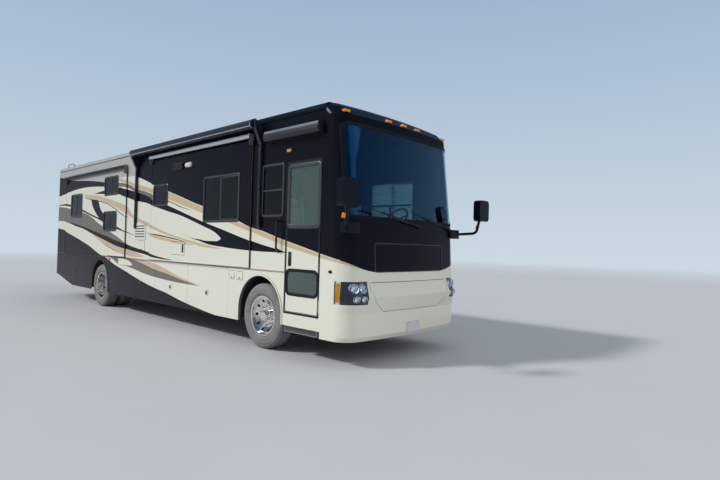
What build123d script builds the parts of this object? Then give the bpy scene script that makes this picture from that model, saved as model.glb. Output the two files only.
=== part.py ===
from build123d import *
import os
from math import atan2, cos, hypot, radians, sin, sqrt

# Motorhome, a rear-engined coach on two axles. Millimetres, +X forward, +Y driver's side, +Z up.
# Stations along the coach are measured forward from the front axle, heights from the ground.

os.makedirs("parts", exist_ok=True)

# Body shell
body_width = 2565
wall_thickness = 45
cap_thickness = 35
skirt_thickness = 35
belt_height = 1165
skirt_bottom = 364
wall_top = 3405
eave_band = 20
roof_crown = 3530
eave_radius = 85
cap_seam = 1318
rear_seam = -9420
tail = -9600
fit_gap = 0.3
door_gap = 5

# Nose: heights with the front of the centreline, and the two plan radii
nose_radius = 9000
nose_corner_radius = 260
hood_line = 1100
nose_reach = 1950
nose_tail = 500
cap_profile = [(belt_height, 1878), (1950, 1836), (3330, 1672), (3450, 1540), (3545, 1345)]
bumper_bottom = 340
bumper_profile = [(bumper_bottom, 1868), (400, 1903), (703, 1905), (910, nose_reach),
                  (hood_line, 1882), (belt_height, 1878)]

# Running gear
wheelbase = 6363
tyre_radius = 490
tyre_width = 260
bead_radius = 288
rim_lip_radius = 303
rim_width = 228
front_track = 2240
dual_spacing = 330
rear_track_outer = 2230
kingpin_y = 1020
spindle_radius = 35
hub_radius = 112
drum_radius = 205
hand_hole_count = 10
front_arch_centre = -30
front_arch_radius = 535
rear_arch_centre = -6385
rear_arch_radius = 530
arch_top = 1095

# Chassis and floor
rail_spacing = 860
rail_width = 80
rail_bottom = 850
floor_bottom = 1100
floor_top = 1195
rail_front = 1620
rail_rear = -9380
spring_radius = 120

# Bays: stations of the seams between the lift-up doors
bay_seams = [-880, -2200, -3500, -4800]
rear_bay_front = -7000
rear_bay_rear = -9100
rear_slope_start = -8200
rear_slope_rise = 236
bay_pan_height = 420
pan_thickness = 20

# Entry door, stepwell and folding step
door_rear = 552
door_front = 1296
door_sill = 600
door_head = 2760
step_count = 3
step_depth = 195
step_plate = 25
step_skirt_bottom = 430
tread_depth = 330
tread_height = 82
step_travel = 280

# Slide-out rooms: flange outline stations and heights, depth into the cabin
slide_flange = 25
slide_overlap = 28
slide_clearance = 10
slide_wall = 30
topper_radius = 36

# Derived sizes
half_width = body_width / 2
mirror_reach = 2151
ladder_reach = 9701
front_axle_x = (ladder_reach - mirror_reach) / 2


def at(station):
    """X of a station measured forward from the front axle."""
    return front_axle_x + station


def save(part, name):
    """Label a finished piece and write its STEP file."""
    part.label = name
    export_step(part, f"parts/{name}.step")


def area(x0, x1, z0, z1, corner=0.0, mode=Mode.ADD):
    """A rectangle between two stations and two heights, in the open sketch of a side view."""
    with Locations(((at(x0) + at(x1)) / 2, (z0 + z1) / 2)):
        if corner > 0:
            RectangleRounded(x1 - x0, z1 - z0, corner, mode=mode)
        else:
            Rectangle(x1 - x0, z1 - z0, mode=mode)


def block(x0, x1, y0, y1, z0, z1, mode=Mode.ADD):
    """A straight bar between stations, Y values and heights, in the open part."""
    with Locations(((at(x0) + at(x1)) / 2, (y0 + y1) / 2, (z0 + z1) / 2)):
        Box(x1 - x0, abs(y1 - y0), z1 - z0, mode=mode)


def nose_outline(front, inset, back):
    """Plan of the nose: two sides, two corner arcs and a shallow front arc, all tangent."""
    half = half_width - inset
    big = nose_radius - inset
    small = nose_corner_radius - inset
    big_x = at(front) - inset - big
    corner_y = half - small
    reach = sqrt((big - small) ** 2 - corner_y ** 2)
    corner_x = big_x + reach
    join_x = big_x + big * reach / (big - small)
    join_y = big * corner_y / (big - small)
    middle = (atan2(corner_y, reach) + radians(90)) / 2
    mid_x = corner_x + small * cos(middle)
    mid_y = corner_y + small * sin(middle)
    Line((at(back), -half), (corner_x, -half))
    ThreePointArc((corner_x, -half), (mid_x, -mid_y), (join_x, -join_y))
    ThreePointArc((join_x, -join_y), (big_x + big, 0), (join_x, join_y))
    ThreePointArc((join_x, join_y), (mid_x, mid_y), (corner_x, half))
    Line((corner_x, half), (at(back), half))
    Line((at(back), half), (at(back), -half))


def nose_solid(profile, inset=0.0, back=cap_seam - nose_tail):
    """The nose as a ruled loft through its plan at each height of the profile."""
    with BuildPart() as nose:
        for height, front in profile:
            with BuildSketch(Plane.XY.offset(height)):
                with BuildLine():
                    nose_outline(front, inset, back)
                make_face()
        loft(ruled=True)
    return nose.part


def nose_front(profile, height):
    """Station of the nose's centreline at a height."""
    for (low, front_low), (high, front_high) in zip(profile, profile[1:]):
        if low <= height <= high:
            return front_low + (front_high - front_low) * (height - low) / (high - low)
    return profile[-1][1]


def nose_x(profile, height, y, inset=0.0):
    """Station of the nose's outer face at a height and a distance from the centreline."""
    face = nose_front(profile, height) - inset
    big = nose_radius - inset
    small = nose_corner_radius - inset
    corner_y = half_width - nose_corner_radius
    reach = sqrt((big - small) ** 2 - corner_y ** 2)
    if abs(y) <= big * corner_y / (big - small):
        return face - big + sqrt(big ** 2 - y ** 2)
    return face - big + reach + sqrt(max(small ** 2 - (abs(y) - corner_y) ** 2, 0))


def body_prism(x0, x1, bottom, inset=0.0):
    """The coach's cross-section, upright sides and a crowned roof, run between two stations."""
    half = half_width - inset
    eave = wall_top + eave_band
    crown = roof_crown - inset
    shoulder_y = half - eave_radius
    shoulder_z = eave + eave_radius - inset
    bend = eave_radius * (1 - cos(radians(45)))
    with BuildPart() as prism:
        with BuildSketch(Plane.YZ.offset(at(x0))):
            with BuildLine():
                Line((-half, bottom), (half, bottom))
                Line((half, bottom), (half, eave))
                ThreePointArc((half, eave), (half - bend, shoulder_z - bend), (shoulder_y, shoulder_z))
                ThreePointArc((shoulder_y, shoulder_z), (0, crown), (-shoulder_y, shoulder_z))
                ThreePointArc((-shoulder_y, shoulder_z), (bend - half, shoulder_z - bend), (-half, eave))
                Line((-half, eave), (-half, bottom))
            make_face()
        extrude(amount=x1 - x0)
    return prism.part


def side_plane(side, outward=0.0):
    """Side-view plane on the outer face of a wall; side is -1 for the kerb side, 1 for the driver's."""
    if side < 0:
        return Plane.XZ.offset(half_width + outward)
    return Plane(origin=(0, half_width + outward, 0), x_dir=(1, 0, 0), z_dir=(0, -1, 0))


# Windows and rooms of each side. Panes: rear, front, low, high, corner radius. Rooms: name, side,
# flange rear, front, low, high, depth into the cabin, travel outward, topper roll height, panes.
wall_windows = {
    -1: [(-20, 470, 2000, 2740, 40)],
    1: [(-60, 900, 1950, 2740, 60), (-8350, -7450, 2120, 2740, 60)],
}
rooms = [
    ("right_living", -1, -3720, -290, 1200, 3165, 760, 650, 3236,
     [(-3600, -3020, 2280, 2660, 30), (-1670, -620, 1940, 2680, 40)]),
    ("right_bedroom", -1, -8800, -4934, 1200, 3085, 660, 550, 3175,
     [(-8380, -7600, 2140, 2700, 40), (-6130, -5380, 2610, 3000, 30), (-6150, -5420, 1790, 2200, 30)]),
    ("left_living", 1, -5600, -950, 1200, 3165, 860, 750, 3236,
     [(-5300, -4500, 2280, 2680, 30), (-3950, -2650, 1940, 2680, 40), (-2150, -1300, 1940, 2680, 40)]),
]

# Side walls: one sandwich panel a side, with its windows, rooms and doorway cut
for side, name in ((-1, "right_wall"), (1, "left_wall")):
    with BuildPart() as wall:
        with BuildSketch(side_plane(side)):
            area(rear_seam, cap_seam, belt_height, wall_top)
            for rear, front, low, high, corner in wall_windows[side]:
                area(rear, front, low, high, corner, Mode.SUBTRACT)
            for room, room_side, rear, front, low, high, depth, travel, topper, panes in rooms:
                if room_side == side:
                    area(rear + slide_overlap, front - slide_overlap, low + slide_overlap,
                         high - slide_overlap, mode=Mode.SUBTRACT)
            if side < 0:
                area(door_rear, door_front, belt_height - 1, door_head, mode=Mode.SUBTRACT)
        extrude(amount=-wall_thickness if side < 0 else wall_thickness)
    save(wall.part, name)

# Roof: one crowned panel with a drip rail along each eave
drip_rail_depth = 18
with BuildPart() as roof:
    add(body_prism(rear_seam, cap_seam, wall_top))
    for side in (-1, 1):
        block(rear_seam, cap_seam, side * half_width, side * (half_width + drip_rail_depth),
              wall_top, wall_top + eave_band)
save(roof.part, "roof")

# Floor: a flat sandwich with a notch for the stepwell and a tongue under the dashboard
floor_half = half_width - wall_thickness
well_gap = 1
stepwell_inner = floor_half - well_gap - step_count * step_depth - step_plate
tongue_half = 940
tongue_front = 1560
with BuildPart() as floor:
    with BuildSketch(Plane.XY.offset(floor_bottom)):
        with Locations((at((rear_seam + cap_seam) / 2), 0)):
            Rectangle(cap_seam - rear_seam, 2 * floor_half)
        with Locations((at((cap_seam + tongue_front) / 2), 0)):
            Rectangle(tongue_front - cap_seam, 2 * tongue_half)
        with Locations((at((door_rear + door_front) / 2), -(floor_half + stepwell_inner) / 2)):
            Rectangle(door_front - door_rear - 16, floor_half - stepwell_inner, mode=Mode.SUBTRACT)
    extrude(amount=floor_top - floor_bottom)
save(floor.part, "floor")

# Stepwell: three folded treads between two cheeks, with the runners of the folding step below
cheek = 15
runner_width = 40
runner_set = 60
well_rear = door_rear + 8
well_front = door_front - 8
riser = (floor_top - door_sill - step_plate) / step_count
tread_top = step_skirt_bottom - 8
with BuildPart() as stepwell:
    with BuildSketch(Plane.YZ.offset(at(well_rear))):
        for step in range(step_count):
            outer = -floor_half + well_gap + step * step_depth
            level = door_sill + step_plate + step * riser
            with Locations((outer + (step_depth + step_plate) / 2, level - step_plate / 2)):
                Rectangle(step_depth + step_plate, step_plate)
            with Locations((outer + step_depth + step_plate / 2, level - step_plate / 2 + riser / 2)):
                Rectangle(step_plate, riser + step_plate)
    extrude(amount=well_front - well_rear)
    for x0 in (well_rear, well_front - cheek):
        block(x0, x0 + cheek, -floor_half + well_gap, -stepwell_inner, door_sill, floor_top)
    for x0 in (well_rear + runner_set, well_front - runner_set - runner_width):
        block(x0, x0 + runner_width, -floor_half + runner_set, -floor_half + runner_set + tread_depth,
              tread_top + fit_gap, door_sill)
save(stepwell.part, "stepwell")

# Front cap: moulded shell round the windscreen, from the belt to the roof
screen_half = 1212
screen_low = 1958
screen_high = 3212
screen_corner = 90
screen_gap = fit_gap
nose_clear = 60
cap_outer = nose_solid(cap_profile)
cap_inner = nose_solid(cap_profile, cap_thickness)
cap_section = body_prism(cap_seam, nose_reach + nose_clear, belt_height)
cap_inner_section = body_prism(cap_seam - nose_clear, nose_reach + nose_clear, belt_height - 1, cap_thickness)
with BuildPart() as cap_hollow:
    add(cap_inner)
    add(cap_inner_section, mode=Mode.INTERSECT)
with BuildPart() as front_cap:
    add(cap_outer)
    add(cap_section, mode=Mode.INTERSECT)
    add(cap_hollow.part, mode=Mode.SUBTRACT)
    with BuildSketch(Plane.YZ.offset(at(cap_seam + nose_clear))):
        with Locations((0, (screen_low + screen_high) / 2)):
            RectangleRounded(2 * screen_half, screen_high - screen_low, screen_corner)
    extrude(amount=nose_reach - cap_seam, mode=Mode.SUBTRACT)
save(front_cap.part, "front_cap")

# Windscreen: one curved pane that wraps into the corners
glass_inset = 5
glass_thickness = 10
screen_profile = cap_profile[1:3]
screen_outer = nose_solid(screen_profile, glass_inset)
screen_inner = nose_solid(screen_profile, glass_inset + glass_thickness)
with BuildPart() as windshield:
    with BuildSketch(Plane.YZ.offset(at(cap_seam + nose_clear))):
        with Locations((0, (screen_low + screen_high) / 2)):
            RectangleRounded(2 * (screen_half - screen_gap), screen_high - screen_low - 2 * screen_gap,
                             screen_corner - screen_gap)
    extrude(amount=nose_reach - cap_seam)
    add(screen_outer, mode=Mode.INTERSECT)
    add(screen_inner, mode=Mode.SUBTRACT)
save(windshield.part, "windshield")

# Front bumper moulding with the lamp pockets and the hatch opening
lamp_inner_y = 930
lamp_low = 825
lamp_high = 1120
lamp_back = 1575
hatch_half = 895
hatch_shoulder = 1000
hatch_outline = [(-hatch_half, hood_line), (hatch_half, hood_line), (hatch_half, hatch_shoulder), (800, 830),
                 (640, 712), (-640, 712), (-800, 830), (-hatch_half, hatch_shoulder)]
bumper_outer = nose_solid(bumper_profile, 0, cap_seam)
bumper_inner = nose_solid([(bumper_bottom - 1, bumper_profile[0][1])] + bumper_profile[1:-1]
                          + [(belt_height + 1, bumper_profile[-1][1])],
                          cap_thickness, cap_seam - nose_clear)


def lamp_pocket(gap):
    """Both lamp pockets as seen from the front, in the open sketch."""
    for side in (-1, 1):
        Polygon((side * (half_width + 5), lamp_low + gap), (side * (lamp_inner_y + 30 + gap), lamp_low + gap),
                (side * (lamp_inner_y + gap), lamp_high - gap), (side * (half_width + 5), lamp_high - gap),
                align=None)


with BuildPart() as front_bumper:
    add(bumper_outer)
    add(bumper_inner, mode=Mode.SUBTRACT)
    with BuildSketch(Plane.YZ.offset(at(lamp_back))):
        lamp_pocket(0)
    extrude(amount=nose_reach - lamp_back + nose_clear, mode=Mode.SUBTRACT)
    with BuildSketch(Plane.YZ.offset(at(lamp_back))):
        with BuildLine():
            Polyline(*hatch_outline, close=True)
        make_face()
    extrude(amount=nose_reach - lamp_back + nose_clear, mode=Mode.SUBTRACT)
save(front_bumper.part, "front_bumper")

# Head lamps: a housing with four reflector bowls in each pocket, behind a wrapped clear lens.
# Bowls: distance from the centreline, height, radius.
lamp_depth = 95
lens_inset = 4
lens_thickness = 4
bowl_set = 14
lamp_bowls = [(1012, 1035, 58), (1145, 1035, 58), (1016, 895, 44), (1134, 895, 44)]
lens_outer = nose_solid(bumper_profile, lens_inset)
lens_inner = nose_solid(bumper_profile, lens_inset + lens_thickness)
housing_outer = nose_solid(bumper_profile, lens_inset + lens_thickness + fit_gap)
housing_inner = nose_solid(bumper_profile, lamp_depth)
with BuildPart() as headlamps:
    with BuildSketch(Plane.YZ.offset(at(lamp_back + 2))):
        lamp_pocket(fit_gap)
    extrude(amount=nose_reach - lamp_back + nose_clear)
    add(housing_outer, mode=Mode.INTERSECT)
    add(housing_inner, mode=Mode.SUBTRACT)
    for side in (-1, 1):
        for y, z, radius in lamp_bowls:
            with Locations((at(nose_x(bumper_profile, z, y)) - bowl_set, side * y, z)):
                Sphere(radius, mode=Mode.SUBTRACT)
save(headlamps.part, "headlamps")

with BuildPart() as headlamp_lenses:
    with BuildSketch(Plane.YZ.offset(at(lamp_back + 2))):
        lamp_pocket(fit_gap)
    extrude(amount=nose_reach - lamp_back + nose_clear)
    add(lens_outer, mode=Mode.INTERSECT)
    add(lens_inner, mode=Mode.SUBTRACT)
save(headlamp_lenses.part, "headlamp_lenses")

# Front hatch: the same skin, cut out with a running gap
hatch_skin = 25
hatch_outer = nose_solid(bumper_profile)
hatch_inner = nose_solid(bumper_profile, hatch_skin)
with BuildPart() as front_hatch:
    with BuildSketch(Plane.YZ.offset(at(lamp_back))):
        with BuildLine():
            Polyline(*hatch_outline, close=True)
        make_face()
        offset(amount=-door_gap, kind=Kind.INTERSECTION)
        with Locations((0, hood_line - door_gap)):
            Rectangle(2 * hatch_half - 4 * door_gap, 2 * (door_gap - fit_gap))
    extrude(amount=nose_reach - lamp_back + nose_clear)
    add(hatch_outer, mode=Mode.INTERSECT)
    add(hatch_inner, mode=Mode.SUBTRACT)
save(front_hatch.part, "front_hatch")

# Rear cap: plan with small corners, crowned section and a rounded top edge
rear_cap_bottom = 590
rear_corner_radius = 130
rear_top_radius = 110
engine_door_half = 800
engine_door_low = 760
engine_door_high = 1560


def rear_solid(inset=0.0, front=rear_seam, bottom=rear_cap_bottom):
    """The rear cap's outer form, or its hollow when it is inset."""
    half = half_width - inset
    radius = rear_corner_radius - inset
    section = body_prism(tail - nose_clear, front, bottom, inset)
    with BuildPart() as rear:
        with BuildSketch(Plane.XY.offset(bottom)):
            with BuildLine():
                Polyline((at(front), -half), (at(tail) + inset + radius, -half))
                ThreePointArc((at(tail) + inset + radius, -half),
                              (at(tail) + inset + radius * (1 - cos(radians(45))),
                               radius * (1 - cos(radians(45))) - half),
                              (at(tail) + inset, radius - half))
                Line((at(tail) + inset, radius - half), (at(tail) + inset, half - radius))
                ThreePointArc((at(tail) + inset, half - radius),
                              (at(tail) + inset + radius * (1 - cos(radians(45))),
                               half - radius * (1 - cos(radians(45)))),
                              (at(tail) + inset + radius, half))
                Line((at(tail) + inset + radius, half), (at(front), half))
                Line((at(front), half), (at(front), -half))
            make_face()
        extrude(amount=roof_crown - bottom + 20)
        add(section, mode=Mode.INTERSECT)
        with BuildSketch(Plane.XZ.offset(-half_width)):
            with BuildLine():
                Polyline((at(front), bottom), (at(tail) + inset, bottom),
                         (at(tail) + inset, roof_crown - inset - 2 * rear_top_radius),
                         (at(tail) + inset + rear_top_radius * 0.3, roof_crown - inset - rear_top_radius * 0.7),
                         (at(tail) + inset + rear_top_radius, roof_crown - inset + 10),
                         (at(front), roof_crown - inset + 10), close=True)
            make_face()
        extrude(amount=body_width, mode=Mode.INTERSECT)
    return rear.part


rear_outer = rear_solid()
rear_inner = rear_solid(cap_thickness, rear_seam + nose_clear, rear_cap_bottom - 1)
with BuildPart() as rear_cap:
    add(rear_outer)
    add(rear_inner, mode=Mode.SUBTRACT)
    block(tail - 10, tail + cap_thickness + 20, -engine_door_half, engine_door_half,
          engine_door_low, engine_door_high, Mode.SUBTRACT)
save(rear_cap.part, "rear_cap")

# Rear engine door: a flat panel with two banks of louvres
engine_skin = 30
louvre_pitch = 42
louvre_slot = 18
louvre_length = 600
louvre_rows = 8
bank_spacing = 700
bank_rise = 120
hinge_radius = 5
hinge_set = 4
hinge_drop = 5
with BuildPart() as engine_door:
    block(tail, tail + engine_skin, -engine_door_half + door_gap, engine_door_half - door_gap,
          engine_door_low + door_gap, engine_door_high - fit_gap)
    with BuildSketch(Plane.YZ.offset(at(tail) - 10)):
        with Locations((0, (engine_door_low + engine_door_high) / 2 + bank_rise)):
            with GridLocations(bank_spacing, louvre_pitch, 2, louvre_rows):
                SlotOverall(louvre_length, louvre_slot)
    extrude(amount=engine_skin + 20, mode=Mode.SUBTRACT)
    with Locations(Location((at(tail) - hinge_set, 0, engine_door_high - hinge_drop), (90, 0, 0))):
        Cylinder(hinge_radius, 2 * (engine_door_half - 4 * door_gap))
save(engine_door.part, "engine_door")


def arch(centre, radius):
    """A wheel opening with a half-round head, cut from the open side-view sketch."""
    with Locations((at(centre), arch_top - radius)):
        Circle(radius, mode=Mode.SUBTRACT)
    area(centre - radius, centre + radius, skirt_bottom - 50, arch_top - radius, mode=Mode.SUBTRACT)


def rear_slope():
    """The wedge under the rising tail of the skirt, cut from the open side-view sketch."""
    Polygon((at(rear_seam) - 1, skirt_bottom - 1), (at(rear_slope_start), skirt_bottom - 1),
            (at(rear_slope_start), skirt_bottom), (at(rear_seam), rear_tip), (at(rear_seam) - 1, rear_tip),
            align=None, mode=Mode.SUBTRACT)


# Fixed lower panels of both sides, with the wheel openings and their moulded lips
lip_width = 26
lip_proud = 8
grille_rear = -8950
grille_front = -7350
grille_low = 560
grille_high = 1060
grille_slats = 12
rear_tip = skirt_bottom + rear_slope_rise
arches = ((front_arch_centre, front_arch_radius), (rear_arch_centre, rear_arch_radius))
with BuildPart() as skirt_panels:
    for side in (-1, 1):
        with BuildSketch(side_plane(side)):
            area(bay_seams[0], cap_seam, skirt_bottom, belt_height)
            arch(front_arch_centre, front_arch_radius)
            if side < 0:
                area(door_rear, door_front, door_sill, belt_height + 1, mode=Mode.SUBTRACT)
                area(front_arch_centre + front_arch_radius, cap_seam, skirt_bottom - 1,
                     step_skirt_bottom, mode=Mode.SUBTRACT)
            area(rear_bay_front, bay_seams[-1], skirt_bottom, belt_height)
            arch(rear_arch_centre, rear_arch_radius)
            rear_front = rear_bay_rear if side < 0 else rear_bay_front
            area(rear_seam, rear_front, skirt_bottom, belt_height)
            rear_slope()
            if side > 0:
                area(grille_rear, grille_front, grille_low, grille_high, 30, Mode.SUBTRACT)
        extrude(amount=-skirt_thickness if side < 0 else skirt_thickness)
        with BuildSketch(side_plane(side)):
            for centre, radius in arches:
                reach = radius + lip_width
                with Locations((at(centre), arch_top - radius)):
                    Circle(reach)
                area(centre - reach, centre + reach, skirt_bottom, arch_top - radius)
            for centre, radius in arches:
                arch(centre, radius)
            area(rear_seam, cap_seam, -reach, skirt_bottom, mode=Mode.SUBTRACT)
            if side < 0:
                area(front_arch_centre + front_arch_radius, cap_seam, skirt_bottom - 1,
                     step_skirt_bottom, mode=Mode.SUBTRACT)
        extrude(amount=lip_proud if side < 0 else -lip_proud)
    slat_pitch = (grille_high - grille_low) / grille_slats
    for slat in range(grille_slats):
        level = grille_low + slat_pitch * (slat + 0.5)
        with BuildSketch(Plane.YZ.offset(at(grille_rear) - 10)):
            with BuildLine():
                Polyline((half_width - 3, level - 14), (half_width - 3, level - 6),
                         (half_width - 32, level + 14), (half_width - 32, level + 6), close=True)
            make_face()
        extrude(amount=grille_front - grille_rear + 20)
save(skirt_panels.part, "skirt_panels")

# Bay doors: lift-up panels, hinged along the belt
bay_doors = [("right_bay_door_1", -1, bay_seams[1], bay_seams[0]),
             ("right_bay_door_2", -1, bay_seams[2], bay_seams[1]),
             ("right_bay_door_3", -1, bay_seams[3], bay_seams[2]),
             ("right_rear_bay_door", -1, rear_bay_rear, rear_bay_front),
             ("left_bay_door_1", 1, bay_seams[1], bay_seams[0]),
             ("left_bay_door_2", 1, bay_seams[2], bay_seams[1]),
             ("left_bay_door_3", 1, bay_seams[3], bay_seams[2])]
for name, side, rear, front in bay_doors:
    with BuildPart() as bay_door:
        with BuildSketch(side_plane(side)):
            area(rear + door_gap / 2, front - door_gap / 2, skirt_bottom, belt_height - fit_gap)
            if rear < rear_slope_start:
                rear_slope()
        extrude(amount=-skirt_thickness if side < 0 else skirt_thickness)
        with Locations(Location((at((rear + front) / 2), side * (half_width + hinge_set),
                                 belt_height - hinge_drop), (0, 90, 0))):
            Cylinder(hinge_radius, front - rear - 4 * door_gap)
    save(bay_door.part, name)

# Basement: a pan under the rails with a bulkhead at every door seam
pan_half = half_width - skirt_thickness - 8
bulkhead = 20
with BuildPart() as basement:
    block(bay_seams[-1], bay_seams[0], -pan_half, pan_half, bay_pan_height, bay_pan_height + pan_thickness)
    for seam in bay_seams:
        low_x = seam - bulkhead if seam == bay_seams[0] else seam
        block(low_x, low_x + bulkhead, -pan_half, pan_half, bay_pan_height, rail_bottom)
save(basement.part, "basement")

# Chassis: two deep rails, crossmembers and a receiver hitch
rail_y = rail_spacing / 2
hitch_size = 64
hitch_bore = 51
hitch_reach = tail - 25
hitch_z = 550
hitch_pin_hole = 8
crossmembers = [1500, 750, -750, -2200, -3500, -4800, -5500, -7300]
with BuildPart() as chassis_frame:
    for side in (-1, 1):
        block(rail_rear, rail_front, side * rail_y - rail_width / 2, side * rail_y + rail_width / 2,
              rail_bottom, floor_bottom)
        block(rail_rear, rail_rear + 60, side * rail_y - rail_width / 2, side * rail_y + rail_width / 2,
              hitch_z - hitch_size / 2, rail_bottom)
    for station in crossmembers:
        block(station - 35, station + 35, -rail_y, rail_y, rail_bottom + 40, floor_bottom - 60)
    block(rail_rear, rail_rear + 60, -rail_y, rail_y, hitch_z - hitch_size / 2, hitch_z + hitch_size / 2)
    block(hitch_reach, rail_rear + 10, -hitch_size / 2, hitch_size / 2, hitch_z - hitch_size / 2,
          hitch_z + hitch_size / 2)
    block(hitch_reach - 1, rail_rear, -hitch_bore / 2, hitch_bore / 2, hitch_z - hitch_bore / 2,
          hitch_z + hitch_bore / 2, Mode.SUBTRACT)
    with Locations(Location((at(hitch_reach + 65), 0, hitch_z), (90, 0, 0))):
        Cylinder(hitch_pin_hole, hitch_size + 10, mode=Mode.SUBTRACT)
save(chassis_frame.part, "chassis_frame")

# Heavy closed masses: engine, generator set and fuel tank
engine_front = -8080
engine_rear = -9260
engine_half = 330
engine_low = 470
with BuildPart() as engine:
    block(engine_rear, engine_front, -engine_half, engine_half, engine_low, floor_bottom - 20)
    fillet(engine.edges().filter_by(Axis.X), 30)
    for station in (engine_rear + 150, engine_front - 150):
        block(station - 40, station + 40, -rail_y + rail_width / 2, rail_y - rail_width / 2,
              rail_bottom + 60, rail_bottom + 140)
save(engine.part, "engine")

generator_rear = 1050
generator_front = 1700
generator_half = 480
generator_low = 455
with BuildPart() as generator:
    block(generator_rear, generator_front, -generator_half, generator_half, generator_low, rail_bottom)
    fillet(generator.edges().filter_by(Axis.X), 25)
save(generator.part, "generator")

tank_rear = bay_seams[0]
tank_length = 270
tank_half = 880
tank_low = 440
with BuildPart() as fuel_tank:
    block(tank_rear, tank_rear + tank_length, -tank_half, tank_half, tank_low, rail_bottom)
    fillet(fuel_tank.edges().filter_by(Axis.Y), 60)
save(fuel_tank.part, "fuel_tank")


# Running gear sections shared by tyres, rims and hubs
rim_gauge = 9
disc_gauge = 14
disc_flat = 62
lip_edge = 7
lip_depth = 12
hand_hole_radius = 24


def tyre(centre_x, centre_y):
    """A tyre turned about its axle: bead, bulging side wall, bevelled shoulder and flat tread."""
    half = tyre_width / 2
    bead_half = rim_width / 2 - lip_depth - fit_gap
    bead_top = rim_lip_radius + 4
    outer_side = [(bead_top, bead_half), (tyre_radius - 130, half), (tyre_radius - 34, half - 6),
                  (tyre_radius, half - 32)]
    inner_side = [(radius, -y) for radius, y in reversed(outer_side)]
    with BuildPart() as body:
        with BuildSketch(Plane.XY):
            with BuildLine():
                Polyline((bead_radius, -bead_half), (bead_radius, bead_half), *outer_side, *inner_side,
                         close=True)
            make_face()
        revolve(axis=Axis.Y)
    return body.part.moved(Location((centre_x, centre_y, tyre_radius)))


def rim(face, disc, sign, rise, centre_x):
    """A disc wheel: rolled barrel with two lips and a coned disc. sign points to the disc's open side."""
    barrel = bead_radius - fit_gap
    floor_radius = barrel - rim_gauge
    inner = face - sign * rim_width
    cone_top = disc + sign * rise
    with BuildPart() as wheel:
        with BuildSketch(Plane.XY):
            with BuildLine():
                Polyline((rim_lip_radius - lip_edge, face), (rim_lip_radius, face),
                         (rim_lip_radius, face - sign * lip_depth), (barrel, face - sign * lip_depth),
                         (barrel, inner + sign * lip_depth), (rim_lip_radius, inner + sign * lip_depth),
                         (rim_lip_radius, inner), (rim_lip_radius - lip_edge, inner),
                         (floor_radius, inner + sign * 4), (floor_radius, face - sign * 4), close=True)
            make_face()
            with BuildLine():
                Polyline((spindle_radius + fit_gap, disc), (hub_radius + disc_flat, disc),
                         (floor_radius - 30, cone_top), (floor_radius + 2, cone_top),
                         (floor_radius + 2, cone_top - sign * disc_gauge),
                         (floor_radius - 22, cone_top - sign * disc_gauge),
                         (hub_radius + 70, disc - sign * disc_gauge),
                         (spindle_radius + fit_gap, disc - sign * disc_gauge), close=True)
            make_face()
        revolve(axis=Axis.Y)
        with Locations(Plane.XZ):
            with PolarLocations((hub_radius + disc_flat + floor_radius) / 2, hand_hole_count):
                Cylinder(hand_hole_radius, 4 * half_width, mode=Mode.SUBTRACT)
    return wheel.part.moved(Location((centre_x, 0, tyre_radius)))


def hub(disc, sign, length, bore_length, centre_x):
    """Hub and brake drum: sign points outboard, the bore opens inboard onto the spindle."""
    with BuildPart() as core:
        with BuildSketch(Plane.XY):
            with BuildLine():
                Polyline((0, disc + sign * length), (hub_radius * 0.62, disc + sign * length),
                         (hub_radius * 0.74, disc + sign * (length - 14)), (hub_radius * 0.74, disc),
                         (hub_radius, disc), (hub_radius, disc - sign * disc_gauge),
                         (drum_radius, disc - sign * disc_gauge), (drum_radius, disc - sign * drum_length),
                         (drum_radius - 14, disc - sign * drum_length),
                         (drum_radius - 14, disc - sign * (disc_gauge + 14)),
                         (spindle_radius + fit_gap, disc - sign * (disc_gauge + 14)),
                         (spindle_radius + fit_gap, disc + sign * bore_length),
                         (0, disc + sign * bore_length), close=True)
            make_face()
        revolve(axis=Axis.Y)
    return core.part.moved(Location((centre_x, 0, tyre_radius)))


# Wheels: one tyre a side in front, twin tyres behind; chromed disc wheels with hub and drum
front_disc = front_track / 2 + 22
rear_disc = (rear_track_outer - dual_spacing) / 2
front_rise = 42
rear_rise = 75
front_hub_length = 82
rear_hub_length = 150
drum_length = 92
spindle_bore = 40
for side, word in ((-1, "right"), (1, "left")):
    front_y = side * front_track / 2
    outer_y = side * rear_track_outer / 2
    inner_y = side * (rear_track_outer / 2 - dual_spacing)
    disc_y = side * rear_disc
    save(tyre(at(0), front_y), f"front_{word}_tyre")
    front_rim = rim(front_y + side * rim_width / 2, side * front_disc, side, front_rise, at(0))
    front_hub = hub(side * front_disc, side, front_hub_length, spindle_bore, at(0))
    with BuildPart() as front_wheel:
        add(front_rim)
        add(front_hub)
    save(front_wheel.part, f"front_{word}_rim")
    outer_tyre = tyre(at(-wheelbase), outer_y)
    inner_tyre = tyre(at(-wheelbase), inner_y)
    with BuildPart() as twin_tyres:
        add(outer_tyre)
        add(inner_tyre)
    save(twin_tyres.part, f"rear_{word}_tyres")
    outer_rim = rim(outer_y + side * rim_width / 2, disc_y + side * disc_gauge, side, rear_rise,
                    at(-wheelbase))
    inner_rim = rim(inner_y - side * rim_width / 2, disc_y - side * disc_gauge, -side, rear_rise,
                    at(-wheelbase))
    rear_hub = hub(disc_y, side, rear_hub_length, spindle_bore, at(-wheelbase))
    with BuildPart() as twin_rims:
        add(outer_rim)
        add(inner_rim)
        add(rear_hub)
    save(twin_rims.part, f"rear_{word}_rims")

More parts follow.
